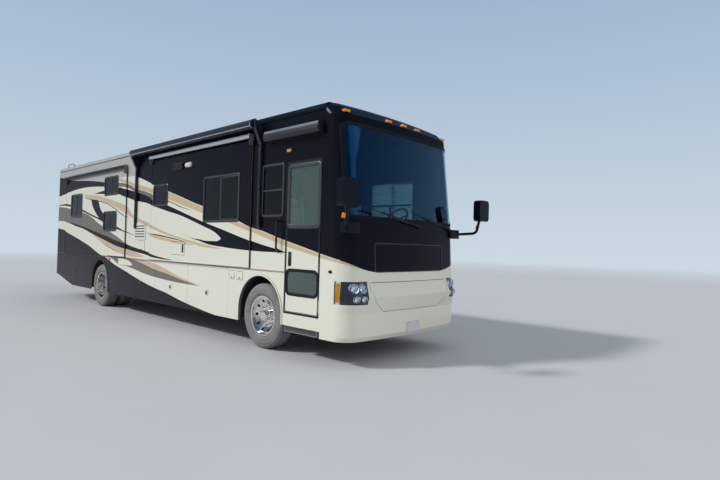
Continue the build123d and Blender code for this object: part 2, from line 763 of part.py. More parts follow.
# Steering knuckles: a fork on the kingpin, a back plate and the wheel spindle
fork_half = 50
fork_thickness = 35
kingpin_radius = 20
eye_radius = 46
plate_y = kingpin_y + 52
plate_thickness = 26
plate_width = 110
spindle_end = front_disc + spindle_bore - 2
for side, word in ((-1, "right"), (1, "left")):
    with BuildPart() as knuckle:
        with Locations((at(0), side * kingpin_y, tyre_radius)):
            Cylinder(kingpin_radius, 2 * (fork_half + fork_thickness))
        for level in (-1, 1):
            fork_z = tyre_radius + level * (fork_half + fit_gap + fork_thickness / 2)
            with Locations((at(0), side * kingpin_y, fork_z)):
                Cylinder(eye_radius, fork_thickness)
            with Locations((at(0), side * (kingpin_y + plate_y) / 2, fork_z)):
                Box(2 * eye_radius - 2, plate_y - kingpin_y, fork_thickness)
        with Locations((at(0), side * (plate_y + plate_thickness / 2), tyre_radius)):
            Box(plate_width, plate_thickness, 2 * (fork_half + fork_thickness))
        with Locations(Location((at(0), side * (plate_y + spindle_end) / 2, tyre_radius), (90, 0, 0))):
            Cylinder(spindle_radius, spindle_end - plate_y)
    save(knuckle.part, f"{word}_knuckle")

# Front axle: forged I-beam with an eye at each end and air springs under the rails
beam_depth = 100
beam_drop = 46
beam_bend = 700
beam_web = 56
beam_end = kingpin_y - 30
beam_top = [(beam_end, tyre_radius + 40), (beam_bend, tyre_radius + 60 - beam_drop),
            (-beam_bend, tyre_radius + 60 - beam_drop), (-beam_end, tyre_radius + 40)]
beam_foot = [(-beam_end, tyre_radius - 40), (-beam_bend, tyre_radius - 40 - beam_drop),
             (beam_bend, tyre_radius - 40 - beam_drop), (beam_end, tyre_radius - 40)]
with BuildPart() as front_axle:
    with BuildSketch(Plane.YZ.offset(at(0) - beam_depth / 2)):
        with BuildLine():
            Polyline(*beam_foot, *beam_top, close=True)
        make_face()
    extrude(amount=beam_depth)
    for face in (-1, 1):
        with BuildSketch(Plane.YZ.offset(at(0) + face * beam_depth / 2)):
            with Locations((0, tyre_radius + 10 - beam_drop)):
                Rectangle(2 * (beam_bend - 40), beam_web)
        extrude(amount=-face * (beam_depth / 2 - 12), mode=Mode.SUBTRACT)
    for side in (-1, 1):
        with Locations((at(0), side * kingpin_y, tyre_radius)):
            Cylinder(eye_radius, 2 * fork_half)
            Cylinder(kingpin_radius + fit_gap, 3 * fork_half, mode=Mode.SUBTRACT)
        spring_foot = tyre_radius + 50 - beam_drop
        with Locations((at(0), side * rail_y, (spring_foot + rail_bottom) / 2)):
            Cylinder(spring_radius, rail_bottom - spring_foot)
save(front_axle.part, "front_axle")

# Rear axle: tube and differential, two spring beams, four air springs and the propeller shaft
axle_tube_radius = 72
nose_piece_radius = 115
beam_reach = 420
beam_half = 45
differential_radius = 185
shaft_radius = 48
with BuildPart() as rear_axle:
    with Locations(Location((at(-wheelbase), 0, tyre_radius), (90, 0, 0))):
        Cylinder(axle_tube_radius, 2 * (rear_disc - drum_length - 12))
        Cylinder(spindle_radius, 2 * (rear_disc + spindle_bore - 2))
        Cylinder(differential_radius, 190)
    with Locations(Location((at(-wheelbase), 0, tyre_radius), (0, 90, 0))):
        Cylinder(nose_piece_radius, 2 * (differential_radius + 40))
    with BuildSketch(Plane.YZ.offset(at(-wheelbase))):
        with Locations((0, tyre_radius)):
            Circle(shaft_radius)
    extrude(amount=-(-engine_front - wheelbase - fit_gap))
    for side in (-1, 1):
        block(-wheelbase - beam_reach - 90, -wheelbase + beam_reach + 90, side * rail_y - beam_half,
              side * rail_y + beam_half, tyre_radius + 20, tyre_radius + 110)
        for end in (-1, 1):
            with Locations((at(-wheelbase + end * beam_reach), side * rail_y,
                            (tyre_radius + 100 + rail_bottom) / 2)):
                Cylinder(spring_radius, rail_bottom - tyre_radius - 100)
save(rear_axle.part, "rear_axle")

# Entry door: a slab with an upper and a lower window, hinged at its front edge
door_panes = [(615, 1245, 1840, 2680, 40), (605, 1250, 890, 1210, 70)]
door_hinges = (760, 1680, 2600)
hinge_length = 160
pane_gap = 0.3
pane_thickness = 8
pane_inset = 6
with BuildPart() as entry_door:
    with BuildSketch(side_plane(-1)):
        area(door_rear + door_gap, door_front - fit_gap, door_sill + door_gap, door_head - door_gap)
        for rear, front, low, high, corner in door_panes:
            area(rear, front, low, high, corner, Mode.SUBTRACT)
    extrude(amount=-wall_thickness)
    for height in door_hinges:
        with Locations((at(door_front) - hinge_drop, -half_width - hinge_set, height)):
            Cylinder(hinge_radius, hinge_length)
save(entry_door.part, "entry_door")

with BuildPart() as entry_door_glass:
    with BuildSketch(side_plane(-1, -pane_inset)):
        for rear, front, low, high, corner in door_panes:
            area(rear + pane_gap, front - pane_gap, low + pane_gap, high - pane_gap, corner)
    extrude(amount=-pane_thickness)
save(entry_door_glass.part, "entry_door_glass")

# Fixed side glass
with BuildPart() as side_glass:
    for side in (-1, 1):
        with BuildSketch(side_plane(side, -pane_inset)):
            for rear, front, low, high, corner in wall_windows[side]:
                area(rear + pane_gap, front - pane_gap, low + pane_gap, high - pane_gap, corner)
        extrude(amount=-pane_thickness if side < 0 else pane_thickness)
save(side_glass.part, "side_glass")

# Folding step: a ribbed tread that slides out on the stepwell's runners
tread_front = door_front - 45
tread_rear = door_rear + 8
tread_set = 20
tread_plate = 30
rib_pitch = 30
with BuildPart() as entry_step:
    block(tread_rear, tread_front, -half_width + tread_set, -half_width + tread_set + tread_depth,
          tread_top - tread_plate, tread_top)
    block(tread_rear, tread_front, -half_width + tread_set, -half_width + tread_set + step_plate,
          tread_top - tread_height, tread_top)
    with BuildSketch(Plane.YZ.offset(at(tread_rear) - 1)):
        for rib in range(2):
            with Locations((-half_width + tread_set, tread_top - tread_height + 24 + rib * rib_pitch)):
                Rectangle(10, 12)
    extrude(amount=tread_front - tread_rear + 2, mode=Mode.SUBTRACT)
save(entry_step.part, "entry_step")

# Slide-out rooms: flanged face with windows, five-sided box behind it, pads, awning roller above
pad_depth = 40
bracket_thickness = 14
for room, side, rear, front, low, high, depth, travel, topper, panes in rooms:
    inner_rear = rear + slide_overlap + slide_clearance
    inner_front = front - slide_overlap - slide_clearance
    inner_low = low + slide_overlap + slide_clearance
    inner_high = high - slide_overlap - slide_clearance
    face_y = side * (half_width + 1 + slide_flange)
    back_y = side * (half_width - depth)
    roller_y = side * (half_width + slide_flange + topper_radius - 6)
    into = 1 if side < 0 else -1
    with BuildPart() as slide_room:
        with BuildSketch(side_plane(side, 1 + slide_flange)):
            area(rear, front, low, high)
        extrude(amount=-slide_flange if side < 0 else slide_flange)
        with BuildSketch(side_plane(side, 1 + slide_flange)):
            area(inner_rear, inner_front, inner_low, inner_high)
        extrude(amount=-(depth + slide_flange) if side < 0 else depth + slide_flange)
        with BuildSketch(side_plane(side, 1 - slide_wall)):
            area(inner_rear + slide_wall, inner_front - slide_wall, inner_low + slide_wall,
                 inner_high - slide_wall)
        extrude(amount=-depth if side < 0 else depth, mode=Mode.SUBTRACT)
        with BuildSketch(side_plane(side, 1 + slide_flange)):
            for pane_rear, pane_front, pane_low, pane_high, corner in panes:
                area(pane_rear, pane_front, pane_low, pane_high, corner)
        extrude(amount=-(slide_flange + slide_wall + 5) if side < 0 else slide_flange + slide_wall + 5,
                mode=Mode.SUBTRACT)
        for x0 in (inner_rear + 100, inner_front - 200):
            block(x0, x0 + 100, back_y - into * 2, back_y - into * (pad_depth + 2), floor_top + fit_gap,
                  inner_low + 5)
        with Locations(Location((at((rear + front) / 2), roller_y, topper), (0, 90, 0))):
            Cylinder(topper_radius, front - rear - 2 * bracket_thickness)
        for x0 in (rear, front - bracket_thickness):
            block(x0, x0 + bracket_thickness, roller_y + side * topper_radius, side * (half_width + 1),
                  high - 60, topper + topper_radius)
    save(slide_room.part, f"{room}_slide")
    with BuildPart() as slide_glass:
        with BuildSketch(side_plane(side, 1 + slide_flange - pane_inset)):
            for pane_rear, pane_front, pane_low, pane_high, corner in panes:
                area(pane_rear + pane_gap, pane_front - pane_gap, pane_low + pane_gap,
                     pane_high - pane_gap, corner)
        extrude(amount=-pane_thickness if side < 0 else pane_thickness)
    save(slide_glass.part, f"{room}_slide_glass")

# Awnings: a long roll on two box arms over the living room, and a cassette over the door
roll_radius = 68
roll_y = -half_width - 138
roll_z = 3382
roll_rear = -4400
roll_front = -100
arm_width = 62
arm_depth = 42
arm_low = 1810
cassette_rear = 100
cassette_front = 1300
arm_section = [(0, arm_low), (arm_depth, arm_low + 30), (arm_depth, roll_z - 300),
               (-half_width - roll_y + 20, roll_z - roll_radius + 14),
               (-half_width - roll_y + 20, roll_z + roll_radius), (0, roll_z - 40)]
cassette_section = [(0, 3075), (90, 3090), (118, 3140), (100, 3230), (0, 3262)]
with BuildPart() as awnings:
    with Locations(Location((at((roll_rear + roll_front) / 2), roll_y, roll_z), (0, 90, 0))):
        Cylinder(roll_radius, roll_front - roll_rear)
    for x0 in (roll_rear - arm_width, roll_front):
        with BuildSketch(Plane.YZ.offset(at(x0))):
            Polygon(*[(-half_width - out, z) for out, z in arm_section], align=None)
        extrude(amount=arm_width)
    with BuildSketch(Plane.YZ.offset(at(cassette_rear))):
        Polygon(*[(-half_width - out, z) for out, z in cassette_section], align=None)
    extrude(amount=cassette_front - cassette_rear)
save(awnings.part, "awnings")

# Roof units: two air conditioners, three vents and a skylight on the roof's crown. Each has its
# station, Y, length, width, height and the taper of its sides in degrees.
roof_items = [(-2650, 0, 1050, 700, 300, 20), (-6900, 0, 1050, 700, 300, 20), (-700, 330, 400, 400, 120, 12),
              (-4700, -350, 400, 400, 120, 12), (-8300, 300, 400, 400, 120, 12),
              (-5600, 420, 640, 420, 90, 25)]
with BuildPart() as roof_units:
    for station, y, length, width, height, taper in roof_items:
        with BuildSketch(Plane.XY.offset(roof_crown - 60)):
            with Locations((at(station), y)):
                RectangleRounded(length, width, 60)
        extrude(amount=height + 60, taper=taper)
    add(body_prism(rear_seam, cap_seam, wall_top), mode=Mode.SUBTRACT)
save(roof_units.part, "roof_units")

# Mirrors: a bracket on each corner post, a bent arm and a tall head
bracket_x = 1740
bracket_z = 1816
head_x = 2066
head_y = 1571
head_z = 2213
head_width = 290
head_height = 340
head_depth = 120
arm_radius = 22
with BuildPart() as mirrors:
    for side in (-1, 1):
        with BuildSketch(Plane.XY.offset(bracket_z - 70)):
            with Locations((at(bracket_x) + 10, side * (half_width - 90))):
                RectangleRounded(150, 260, 40)
        extrude(amount=140)
        with BuildLine() as arm_path:
            FilletPolyline((at(bracket_x) + 30, side * (half_width - 20), bracket_z),
                           (at(head_x) - 60, side * (head_y - 40), bracket_z + 30),
                           (at(head_x) - 10, side * head_y, head_z - 60), radius=90)
        with BuildSketch(Plane(arm_path.line @ 0, z_dir=arm_path.line % 0)):
            Circle(arm_radius)
        sweep(path=arm_path.line)
        with BuildSketch(Plane(origin=(at(head_x) - head_depth / 2, side * head_y, head_z), x_dir=(0, 1, 0),
                               z_dir=(1, 0, 0))):
            RectangleRounded(head_width, head_height, 60)
        extrude(amount=head_depth)
    add(nose_solid(cap_profile), mode=Mode.SUBTRACT)
save(mirrors.part, "mirrors")

# Wipers: two parked arms with blades, each from a pivot on the cap below the glass
wiper_sweeps = ((143, -1040), (1037, -8))
pivot_z = 1885
tip_z = 2110
with BuildPart() as wipers:
    for pivot_y, tip_y in wiper_sweeps:
        pivot_x = at(nose_x(cap_profile, pivot_z, pivot_y))
        with Locations(Location((pivot_x + 12, pivot_y, pivot_z), (0, 90, 0))):
            Cylinder(20, 50)
        length = hypot(tip_y - pivot_y, tip_z - pivot_z)
        tilt = Plane(origin=(pivot_x + 28, pivot_y, pivot_z), x_dir=(0, tip_y - pivot_y, tip_z - pivot_z),
                     z_dir=(1, 0, 0))
        with BuildSketch(tilt):
            with Locations((length * 0.36, 0)):
                Rectangle(length * 0.72, 20)
            with Locations((length * 0.62, 14)):
                Rectangle(length * 0.76, 12)
        extrude(amount=14)
    add(nose_solid(cap_profile), mode=Mode.SUBTRACT)
save(wipers.part, "wipers")

# Handrails: the roof ladder on the rear cap and the grab rail beside the door
ladder_rails = (-1020, -610)
ladder_low = 1760
ladder_x = ladder_reach - 16
tube_radius = 15
rung_pitch = 290
rung_count = 6
grab_x = 430
grab_low = 1480
grab_high = 1930
grab_reach = 70
with BuildPart() as handrails:
    for y in ladder_rails:
        with BuildLine() as rail_path:
            FilletPolyline((at(tail), y, ladder_low), (at(-ladder_x), y, ladder_low),
                           (at(-ladder_x), y, roof_crown + 130), (at(tail) + 420, y, roof_crown + 130),
                           (at(tail) + 420, y, wall_top), radius=70)
        with BuildSketch(Plane(rail_path.line @ 0, z_dir=rail_path.line % 0)):
            Circle(tube_radius)
        sweep(path=rail_path.line)
    for rung in range(rung_count):
        with Locations(Location((at(-ladder_x), sum(ladder_rails) / 2, ladder_low + 110 + rung * rung_pitch),
                                (90, 0, 0))):
            Cylinder(tube_radius - 2, ladder_rails[1] - ladder_rails[0])
    with BuildLine() as grab_path:
        FilletPolyline((at(grab_x) - 30, -half_width, grab_low),
                       (at(grab_x), -half_width - grab_reach, grab_low + 40),
                       (at(grab_x), -half_width - grab_reach, grab_high - 40),
                       (at(grab_x) - 30, -half_width, grab_high), radius=30)
    with BuildSketch(Plane(grab_path.line @ 0, z_dir=grab_path.line % 0)):
        Circle(tube_radius)
    sweep(path=grab_path.line)
    add(rear_solid(), mode=Mode.SUBTRACT)
    add(body_prism(rear_seam, cap_seam, wall_top), mode=Mode.SUBTRACT)
    block(rear_seam, cap_seam, -half_width, half_width, belt_height, wall_top, Mode.SUBTRACT)
save(handrails.part, "handrails")

# Marker lamps: five on the brow, one at the door, one high on the wall, two low on the sides
brow_lamps = (-1120, -338, 0, 338, 1120)
brow_z = 3372
with BuildPart() as marker_lamps:
    for y in brow_lamps:
        with Locations((at(nose_x(cap_profile, brow_z, y)), y, brow_z)):
            Box(60, 100, 34)
    add(nose_solid(cap_profile), mode=Mode.SUBTRACT)
    with BuildSketch(side_plane(-1, 22)):
        with Locations((at(600), 2920), (at(-5800), 1130)):
            SlotOverall(90, 40)
    extrude(amount=-22)
    with BuildSketch(side_plane(1, 22)):
        with Locations((at(-5800), 1130)):
            SlotOverall(90, 40)
    extrude(amount=22)
save(marker_lamps.part, "marker_lamps")

# Tail lamps: an upright cluster at each rear corner and five clearance lamps up high
tail_lamp_y = 1010
tail_lamp_z = 1180
clearance_lamps = (-1000, -200, 0, 200, 1000)
clearance_z = 3230
with BuildPart() as tail_lamps:
    with BuildSketch(Plane.YZ.offset(at(tail) - 24)):
        for side in (-1, 1):
            with Locations((side * tail_lamp_y, tail_lamp_z)):
                RectangleRounded(150, 520, 50)
        for y in clearance_lamps:
            with Locations((y, clearance_z)):
                RectangleRounded(110, 36, 14)
    extrude(amount=80)
    add(rear_solid(), mode=Mode.SUBTRACT)
save(tail_lamps.part, "tail_lamps")

# Dashboard: a moulded shelf under the windscreen
dash_half = 1080
dash_section = [(1400, floor_top), (1640, floor_top), (1760, 1860), (1340, 1905), (1290, 1780), (1400, 1600)]
with BuildPart() as dashboard:
    with BuildSketch(Plane.XZ.offset(-dash_half)):
        Polygon(*[(at(station), z) for station, z in dash_section], align=None)
    extrude(amount=2 * dash_half)
    add(nose_solid(cap_profile, cap_thickness + 4), mode=Mode.INTERSECT)
save(dashboard.part, "dashboard")

# Steering wheel and column
wheel_y = 560
wheel_x = 1090
wheel_z = 2020
wheel_ring = 225
ring_radius = 16
with BuildPart() as steering_wheel:
    tilt = Plane(origin=(at(wheel_x), wheel_y, wheel_z), x_dir=(0, 1, 0), z_dir=(-0.8, 0, 0.6))
    with Locations(tilt):
        Torus(wheel_ring, ring_radius)
        Cylinder(50, 40)
        for spoke in range(3):
            with Locations(Location((0, 0, 0), (0, 0, 90 + spoke * 120))):
                with Locations((wheel_ring / 2, 0, 0)):
                    Box(wheel_ring, 30, 14)
        with Locations((0, 0, -200)):
            Cylinder(34, 400)
    add(dashboard.part, mode=Mode.SUBTRACT)
save(steering_wheel.part, "steering_wheel")

# Front seats: driver's and passenger's chairs on pedestals
seats = [(430, 600), (150, -640)]
seat_width = 520
seat_base = 1562
pedestal_radius = 130
seat_section = [(-230, 1560), (260, 1560), (270, 1660), (-150, 1680), (-250, 2330), (-390, 2320),
                (-300, 1640)]
with BuildPart() as front_seats:
    for station, y in seats:
        with BuildSketch(Plane.XZ.offset(-y - seat_width / 2)):
            Polygon(*[(at(station + ahead), z) for ahead, z in seat_section], align=None)
        extrude(amount=seat_width)
        with Locations((at(station), y, (floor_top + seat_base) / 2)):
            Cylinder(pedestal_radius, seat_base - floor_top)
save(front_seats.part, "front_seats")
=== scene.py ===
import bpy
import bmesh
from math import ceil, copysign, cos, hypot, pi, prod, radians, sin, tan as slope_of
from mathutils import Matrix, Vector
from mathutils.bvhtree import BVHTree


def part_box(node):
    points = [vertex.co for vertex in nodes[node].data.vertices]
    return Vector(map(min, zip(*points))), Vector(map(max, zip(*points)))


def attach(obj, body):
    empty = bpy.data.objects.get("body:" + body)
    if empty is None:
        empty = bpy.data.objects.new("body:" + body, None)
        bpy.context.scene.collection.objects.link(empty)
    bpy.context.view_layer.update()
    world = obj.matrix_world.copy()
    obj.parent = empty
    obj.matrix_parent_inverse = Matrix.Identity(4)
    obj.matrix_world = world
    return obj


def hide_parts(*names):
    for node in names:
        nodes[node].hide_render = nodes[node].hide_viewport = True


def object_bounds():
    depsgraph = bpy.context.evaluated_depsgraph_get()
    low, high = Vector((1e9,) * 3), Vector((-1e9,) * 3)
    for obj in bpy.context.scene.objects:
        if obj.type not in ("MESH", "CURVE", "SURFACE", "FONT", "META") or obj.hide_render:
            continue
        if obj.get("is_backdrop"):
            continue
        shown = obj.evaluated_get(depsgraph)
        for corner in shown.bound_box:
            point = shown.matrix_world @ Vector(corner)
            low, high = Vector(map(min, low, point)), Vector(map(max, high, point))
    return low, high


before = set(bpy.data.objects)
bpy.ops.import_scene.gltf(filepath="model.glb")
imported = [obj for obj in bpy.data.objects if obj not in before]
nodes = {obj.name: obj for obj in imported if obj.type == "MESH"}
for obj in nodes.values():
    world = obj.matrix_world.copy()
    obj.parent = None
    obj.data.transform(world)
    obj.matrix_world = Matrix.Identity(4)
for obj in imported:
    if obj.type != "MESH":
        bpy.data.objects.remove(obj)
cad_low, cad_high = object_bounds()

# Camera: a wide lens at standing height off the kerb side, ahead of the front corner, tipped up a
# little and rolled by a degree and a half, as the photograph was taken.
scene = bpy.context.scene
scene.view_settings.view_transform = "Standard"
camera_place = Vector((9.999, -5.826, 1.581))
camera_yaw = radians(132.84)
camera_pitch = radians(0.718)
camera_roll = radians(1.594)
camera_lens = 25.1
film_width = 36
camera = bpy.data.objects.new("camera", bpy.data.cameras.new("camera"))
camera.data.lens = camera_lens
camera.data.sensor_width = film_width
ahead = Vector((cos(camera_yaw) * cos(camera_pitch), sin(camera_yaw) * cos(camera_pitch), sin(camera_pitch)))
level = Vector((sin(camera_yaw), -cos(camera_yaw), 0))
upright = level.cross(ahead)
camera_right = cos(camera_roll) * level + sin(camera_roll) * upright
camera_up = cos(camera_roll) * upright - sin(camera_roll) * level
turn = Matrix((camera_right, camera_up, -ahead)).transposed()
camera.matrix_world = Matrix.Translation(camera_place) @ turn.to_4x4()
scene.collection.objects.link(camera)
scene.camera = camera

# Studio: a pale floor that fades out into a soft sky, white light from all round, and one lamp from
# behind the kerb side that lights the long wall as the sun does. Polished surfaces mirror a deeper
# sky. Its materials and those of the pieces are built with the three classes below.


def pairwise(operation, reflected=False):
    """A method of Signal that adds a Math node with two operands."""
    def method(self, other):
        operands = (other, self) if reflected else (self, other)
        return self.math(operation, *operands)
    return method


class Signal:
    """One value in a material. Arithmetic on it adds Math nodes."""

    def __init__(self, graph, socket):
        self.graph = graph
        self.socket = socket

    def math(self, operation, *operands, clamp=False):
        settings = {"operation": operation, "use_clamp": clamp}
        return self.graph.add("ShaderNodeMath", settings, dict(enumerate(operands)))

    __add__ = __radd__ = pairwise("ADD")
    __sub__, __rsub__ = pairwise("SUBTRACT"), pairwise("SUBTRACT", reflected=True)
    __mul__ = __rmul__ = pairwise("MULTIPLY")
    __truediv__ = pairwise("DIVIDE")
    __pow__ = pairwise("POWER")
    most, least = pairwise("MAXIMUM"), pairwise("MINIMUM")

    def __neg__(self):
        return self * -1

    def __abs__(self):
        return self.math("ABSOLUTE", self)

    def above(self, edge, blur=0.002):
        """A mask that is 1 above the edge, with a fine soft line."""
        return self.math("ADD", (self - edge) / blur, 0.5, clamp=True)

    def within(self, low, high):
        """A mask that is 1 between two edges."""
        return self.above(low) * (-self).above(-high)

    def wave(self, pitch):
        """A sine wave with that many radians to a metre."""
        return self.math("SINE", self * pitch)

    def root(self):
        return self.math("SQRT", self)

    def clamped(self):
        return self.math("ADD", self, 0, clamp=True)


class Graph:
    """The node tree of a material or of the world."""

    def __init__(self, tree):
        self.tree = tree

    def join(self, socket, value):
        if isinstance(value, Signal):
            self.tree.links.new(value.socket, socket)
        elif isinstance(value, tuple) and len(value) == 3 and socket.type == "RGBA":
            socket.default_value = (*value, 1)
        else:
            socket.default_value = value

    def add(self, kind, settings=None, values=None, output=0):
        """A node of that kind: its settings first, then its sockets."""
        node = self.tree.nodes.new(kind)
        for name, value in (settings or {}).items():
            if name == "points":
                node.mapping.extend = "HORIZONTAL"
                line = node.mapping.curves[0]
                line.points[0].location = value[0]
                line.points[-1].location = value[-1]
                for point in value[1:-1]:
                    line.points.new(*point)
                for point in line.points:
                    point.handle_type = "AUTO_CLAMPED"
                node.mapping.update()
            else:
                setattr(node, name, value)
        for name, value in (values or {}).items():
            self.join(node.inputs[name], value)
        return Signal(self, node.outputs[output])

    def place(self):
        return self.add("ShaderNodeTexCoord", output="Object")

    def parts(self, vector):
        """X, Y and Z of a vector."""
        return [self.add("ShaderNodeSeparateXYZ", values={0: vector}, output=axis) for axis in "XYZ"]

    def noise(self, scale, detail=3.0, vector=None):
        values = {"Scale": scale, "Detail": detail, "Vector": vector or self.place()}
        return self.add("ShaderNodeTexNoise", values=values)

    def blend(self, mask, under, over):
        """The colour over, laid on the colour under where the mask is 1, by a Mix node's colour sockets."""
        return self.add("ShaderNodeMix", {"data_type": "RGBA"}, {0: mask, 6: under, 7: over}, output=2)


class Finish(Graph):
    """A procedural material round one Principled shader.

    Clouds are a colour with the scale and amount of its mottling. Gloss is the least roughness, its
    spread, and the scale and detail of that. Grain is the scale, strength and depth of a fine bump.
    """

    def __init__(self, name, clouds=None, gloss=None, grain=None, **fixed):
        self.material = bpy.data.materials.new(name)
        self.material.use_nodes = True
        super().__init__(self.material.node_tree)
        self.shader = self.tree.nodes["Principled BSDF"]
        for socket, value in fixed.items():
            self.paint(socket.replace("_", " ").title().replace("Ior", "IOR"), value)
        if clouds:
            self.paint("Base Color", self.mottle(*clouds))
        if gloss:
            least, spread, *cloud = gloss
            self.paint("Roughness", least + spread * self.noise(*cloud))
        if grain:
            scale, strength, depth = grain
            self.bump(self.noise(scale), strength, depth)

    def paint(self, socket, value):
        self.join(self.shader.inputs[socket], value)

    def bump(self, height, strength, depth):
        values = {"Height": height, "Strength": strength, "Distance": depth}
        self.paint("Normal", self.add("ShaderNodeBump", values=values))

    def mottle(self, colour, scale, amount):
        """The colour, a little lighter and darker in soft clouds."""
        dark = tuple(c * (1 - amount) for c in colour)
        light = tuple(min(c * (1 + amount), 1) for c in colour)
        return self.blend(self.noise(scale), dark, light)


floor_reach = 60.0
floor_fade = 26.0
sky_top = (0.22, 0.36, 0.56)
sky_low = (0.6, 0.69, 0.76)
mirrored_top = (0.09, 0.15, 0.26)
mirrored_low = (0.36, 0.4, 0.45)
soft_light = (0.86, 0.93, 1.0)
soft_strength = 0.62
world = bpy.data.worlds.new("studio")
world.use_nodes = True
sky = Graph(world.node_tree)
sky_height = sky.parts(sky.add("ShaderNodeTexCoord", output="Generated"))[2]
sky_colour = sky.blend((sky_height * 1.5 + 0.02).clamped(), sky_low, sky_top)
mirrored_colour = sky.blend((sky_height * 2.6).clamped(), mirrored_low, mirrored_top)
picture = sky.add("ShaderNodeBackground", values={"Color": sky_colour})
mirrored = sky.add("ShaderNodeBackground", values={"Color": mirrored_colour})
lighting = sky.add("ShaderNodeBackground", values={"Color": soft_light, "Strength": soft_strength})
camera_ray, glossy_ray, glass_ray = [sky.add("ShaderNodeLightPath", output=f"Is {kind} Ray")
                                     for kind in ("Camera", "Glossy", "Transmission")]
reflected = sky.add("ShaderNodeMixShader", values={0: glossy_ray, 1: lighting, 2: mirrored})
seen = sky.add("ShaderNodeMixShader", values={0: camera_ray.most(glass_ray), 1: reflected, 2: picture})
sky.join(sky.tree.nodes["World Output"].inputs["Surface"], seen)
scene.world = world

ground = Finish("pale_floor", ((0.47, 0.48, 0.5), 0.7, 0.03), grain=(60, 0.15, 0.002), roughness=0.85)
ground_x, ground_y, _ = ground.parts(ground.place())
ground_far = (ground_x * ground_x + ground_y * ground_y).root()
ground_fade = ((ground_far - floor_fade) / (floor_reach - floor_fade)).clamped()
clear = ground.add("ShaderNodeBsdfTransparent")
solid = Signal(ground, ground.shader.outputs[0])
faded = ground.add("ShaderNodeMixShader", values={0: ground_fade, 1: solid, 2: clear})
ground.join(ground.tree.nodes["Material Output"].inputs["Surface"], faded)
floor_mesh = bpy.data.meshes.new("studio_floor")
floor_ring = [(floor_reach * cos(i * pi / 32), floor_reach * sin(i * pi / 32), -0.001) for i in range(64)]
floor_mesh.from_pydata(floor_ring, [], [tuple(range(64))])
floor_mesh.materials.append(ground.material)
studio_floor = bpy.data.objects.new("studio_floor", floor_mesh)
scene.collection.objects.link(studio_floor)
studio_floor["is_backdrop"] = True

studio_lamps = (("side_lamp", (0.42, 0.62, -0.62), 2.3, 6), ("nose_lamp", (-0.8, -0.25, -0.5), 0.55, 40))
for name, travel, strength, spread in studio_lamps:
    lamp = bpy.data.objects.new(name, bpy.data.lights.new(name, "SUN"))
    lamp.data.energy = strength
    lamp.data.angle = radians(spread)
    lamp.rotation_euler = Vector(travel).to_track_quat("-Z", "Y").to_euler()
    lamp.visible_glossy = name == "side_lamp"
    scene.collection.objects.link(lamp)

# Body paint: cream base coat with black, pewter and tan sweeps laid over walls, doors and rooms
# alike, under one clear coat. Stations and heights are in metres, stations from the front axle.
axle_x = sum(corner.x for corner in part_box("front_right_rim")) / 2


def at(station):
    """X of a station, which counts forward from the front axle."""
    return axle_x + station


half_width = max(abs(corner.y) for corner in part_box("right_wall"))
cream = (0.71, 0.695, 0.585)
tan = (0.56, 0.415, 0.25)
pewter = (0.15, 0.138, 0.125)
silver = (0.42, 0.41, 0.38)
black = (0.0032, 0.004, 0.0085)
inner_grey = (0.17, 0.16, 0.15)
# Dark grey painted shade for the faces that look into the cabin.
cabin_painted_shade = (0.055, 0.054, 0.052)
roof_white = (0.68, 0.68, 0.66)
roller_white = (0.62, 0.64, 0.66)
road_dust = (0.3, 0.27, 0.22)
line_rear, line_front = -9.7, 2.0
line_low, line_high = 0.3, 3.6
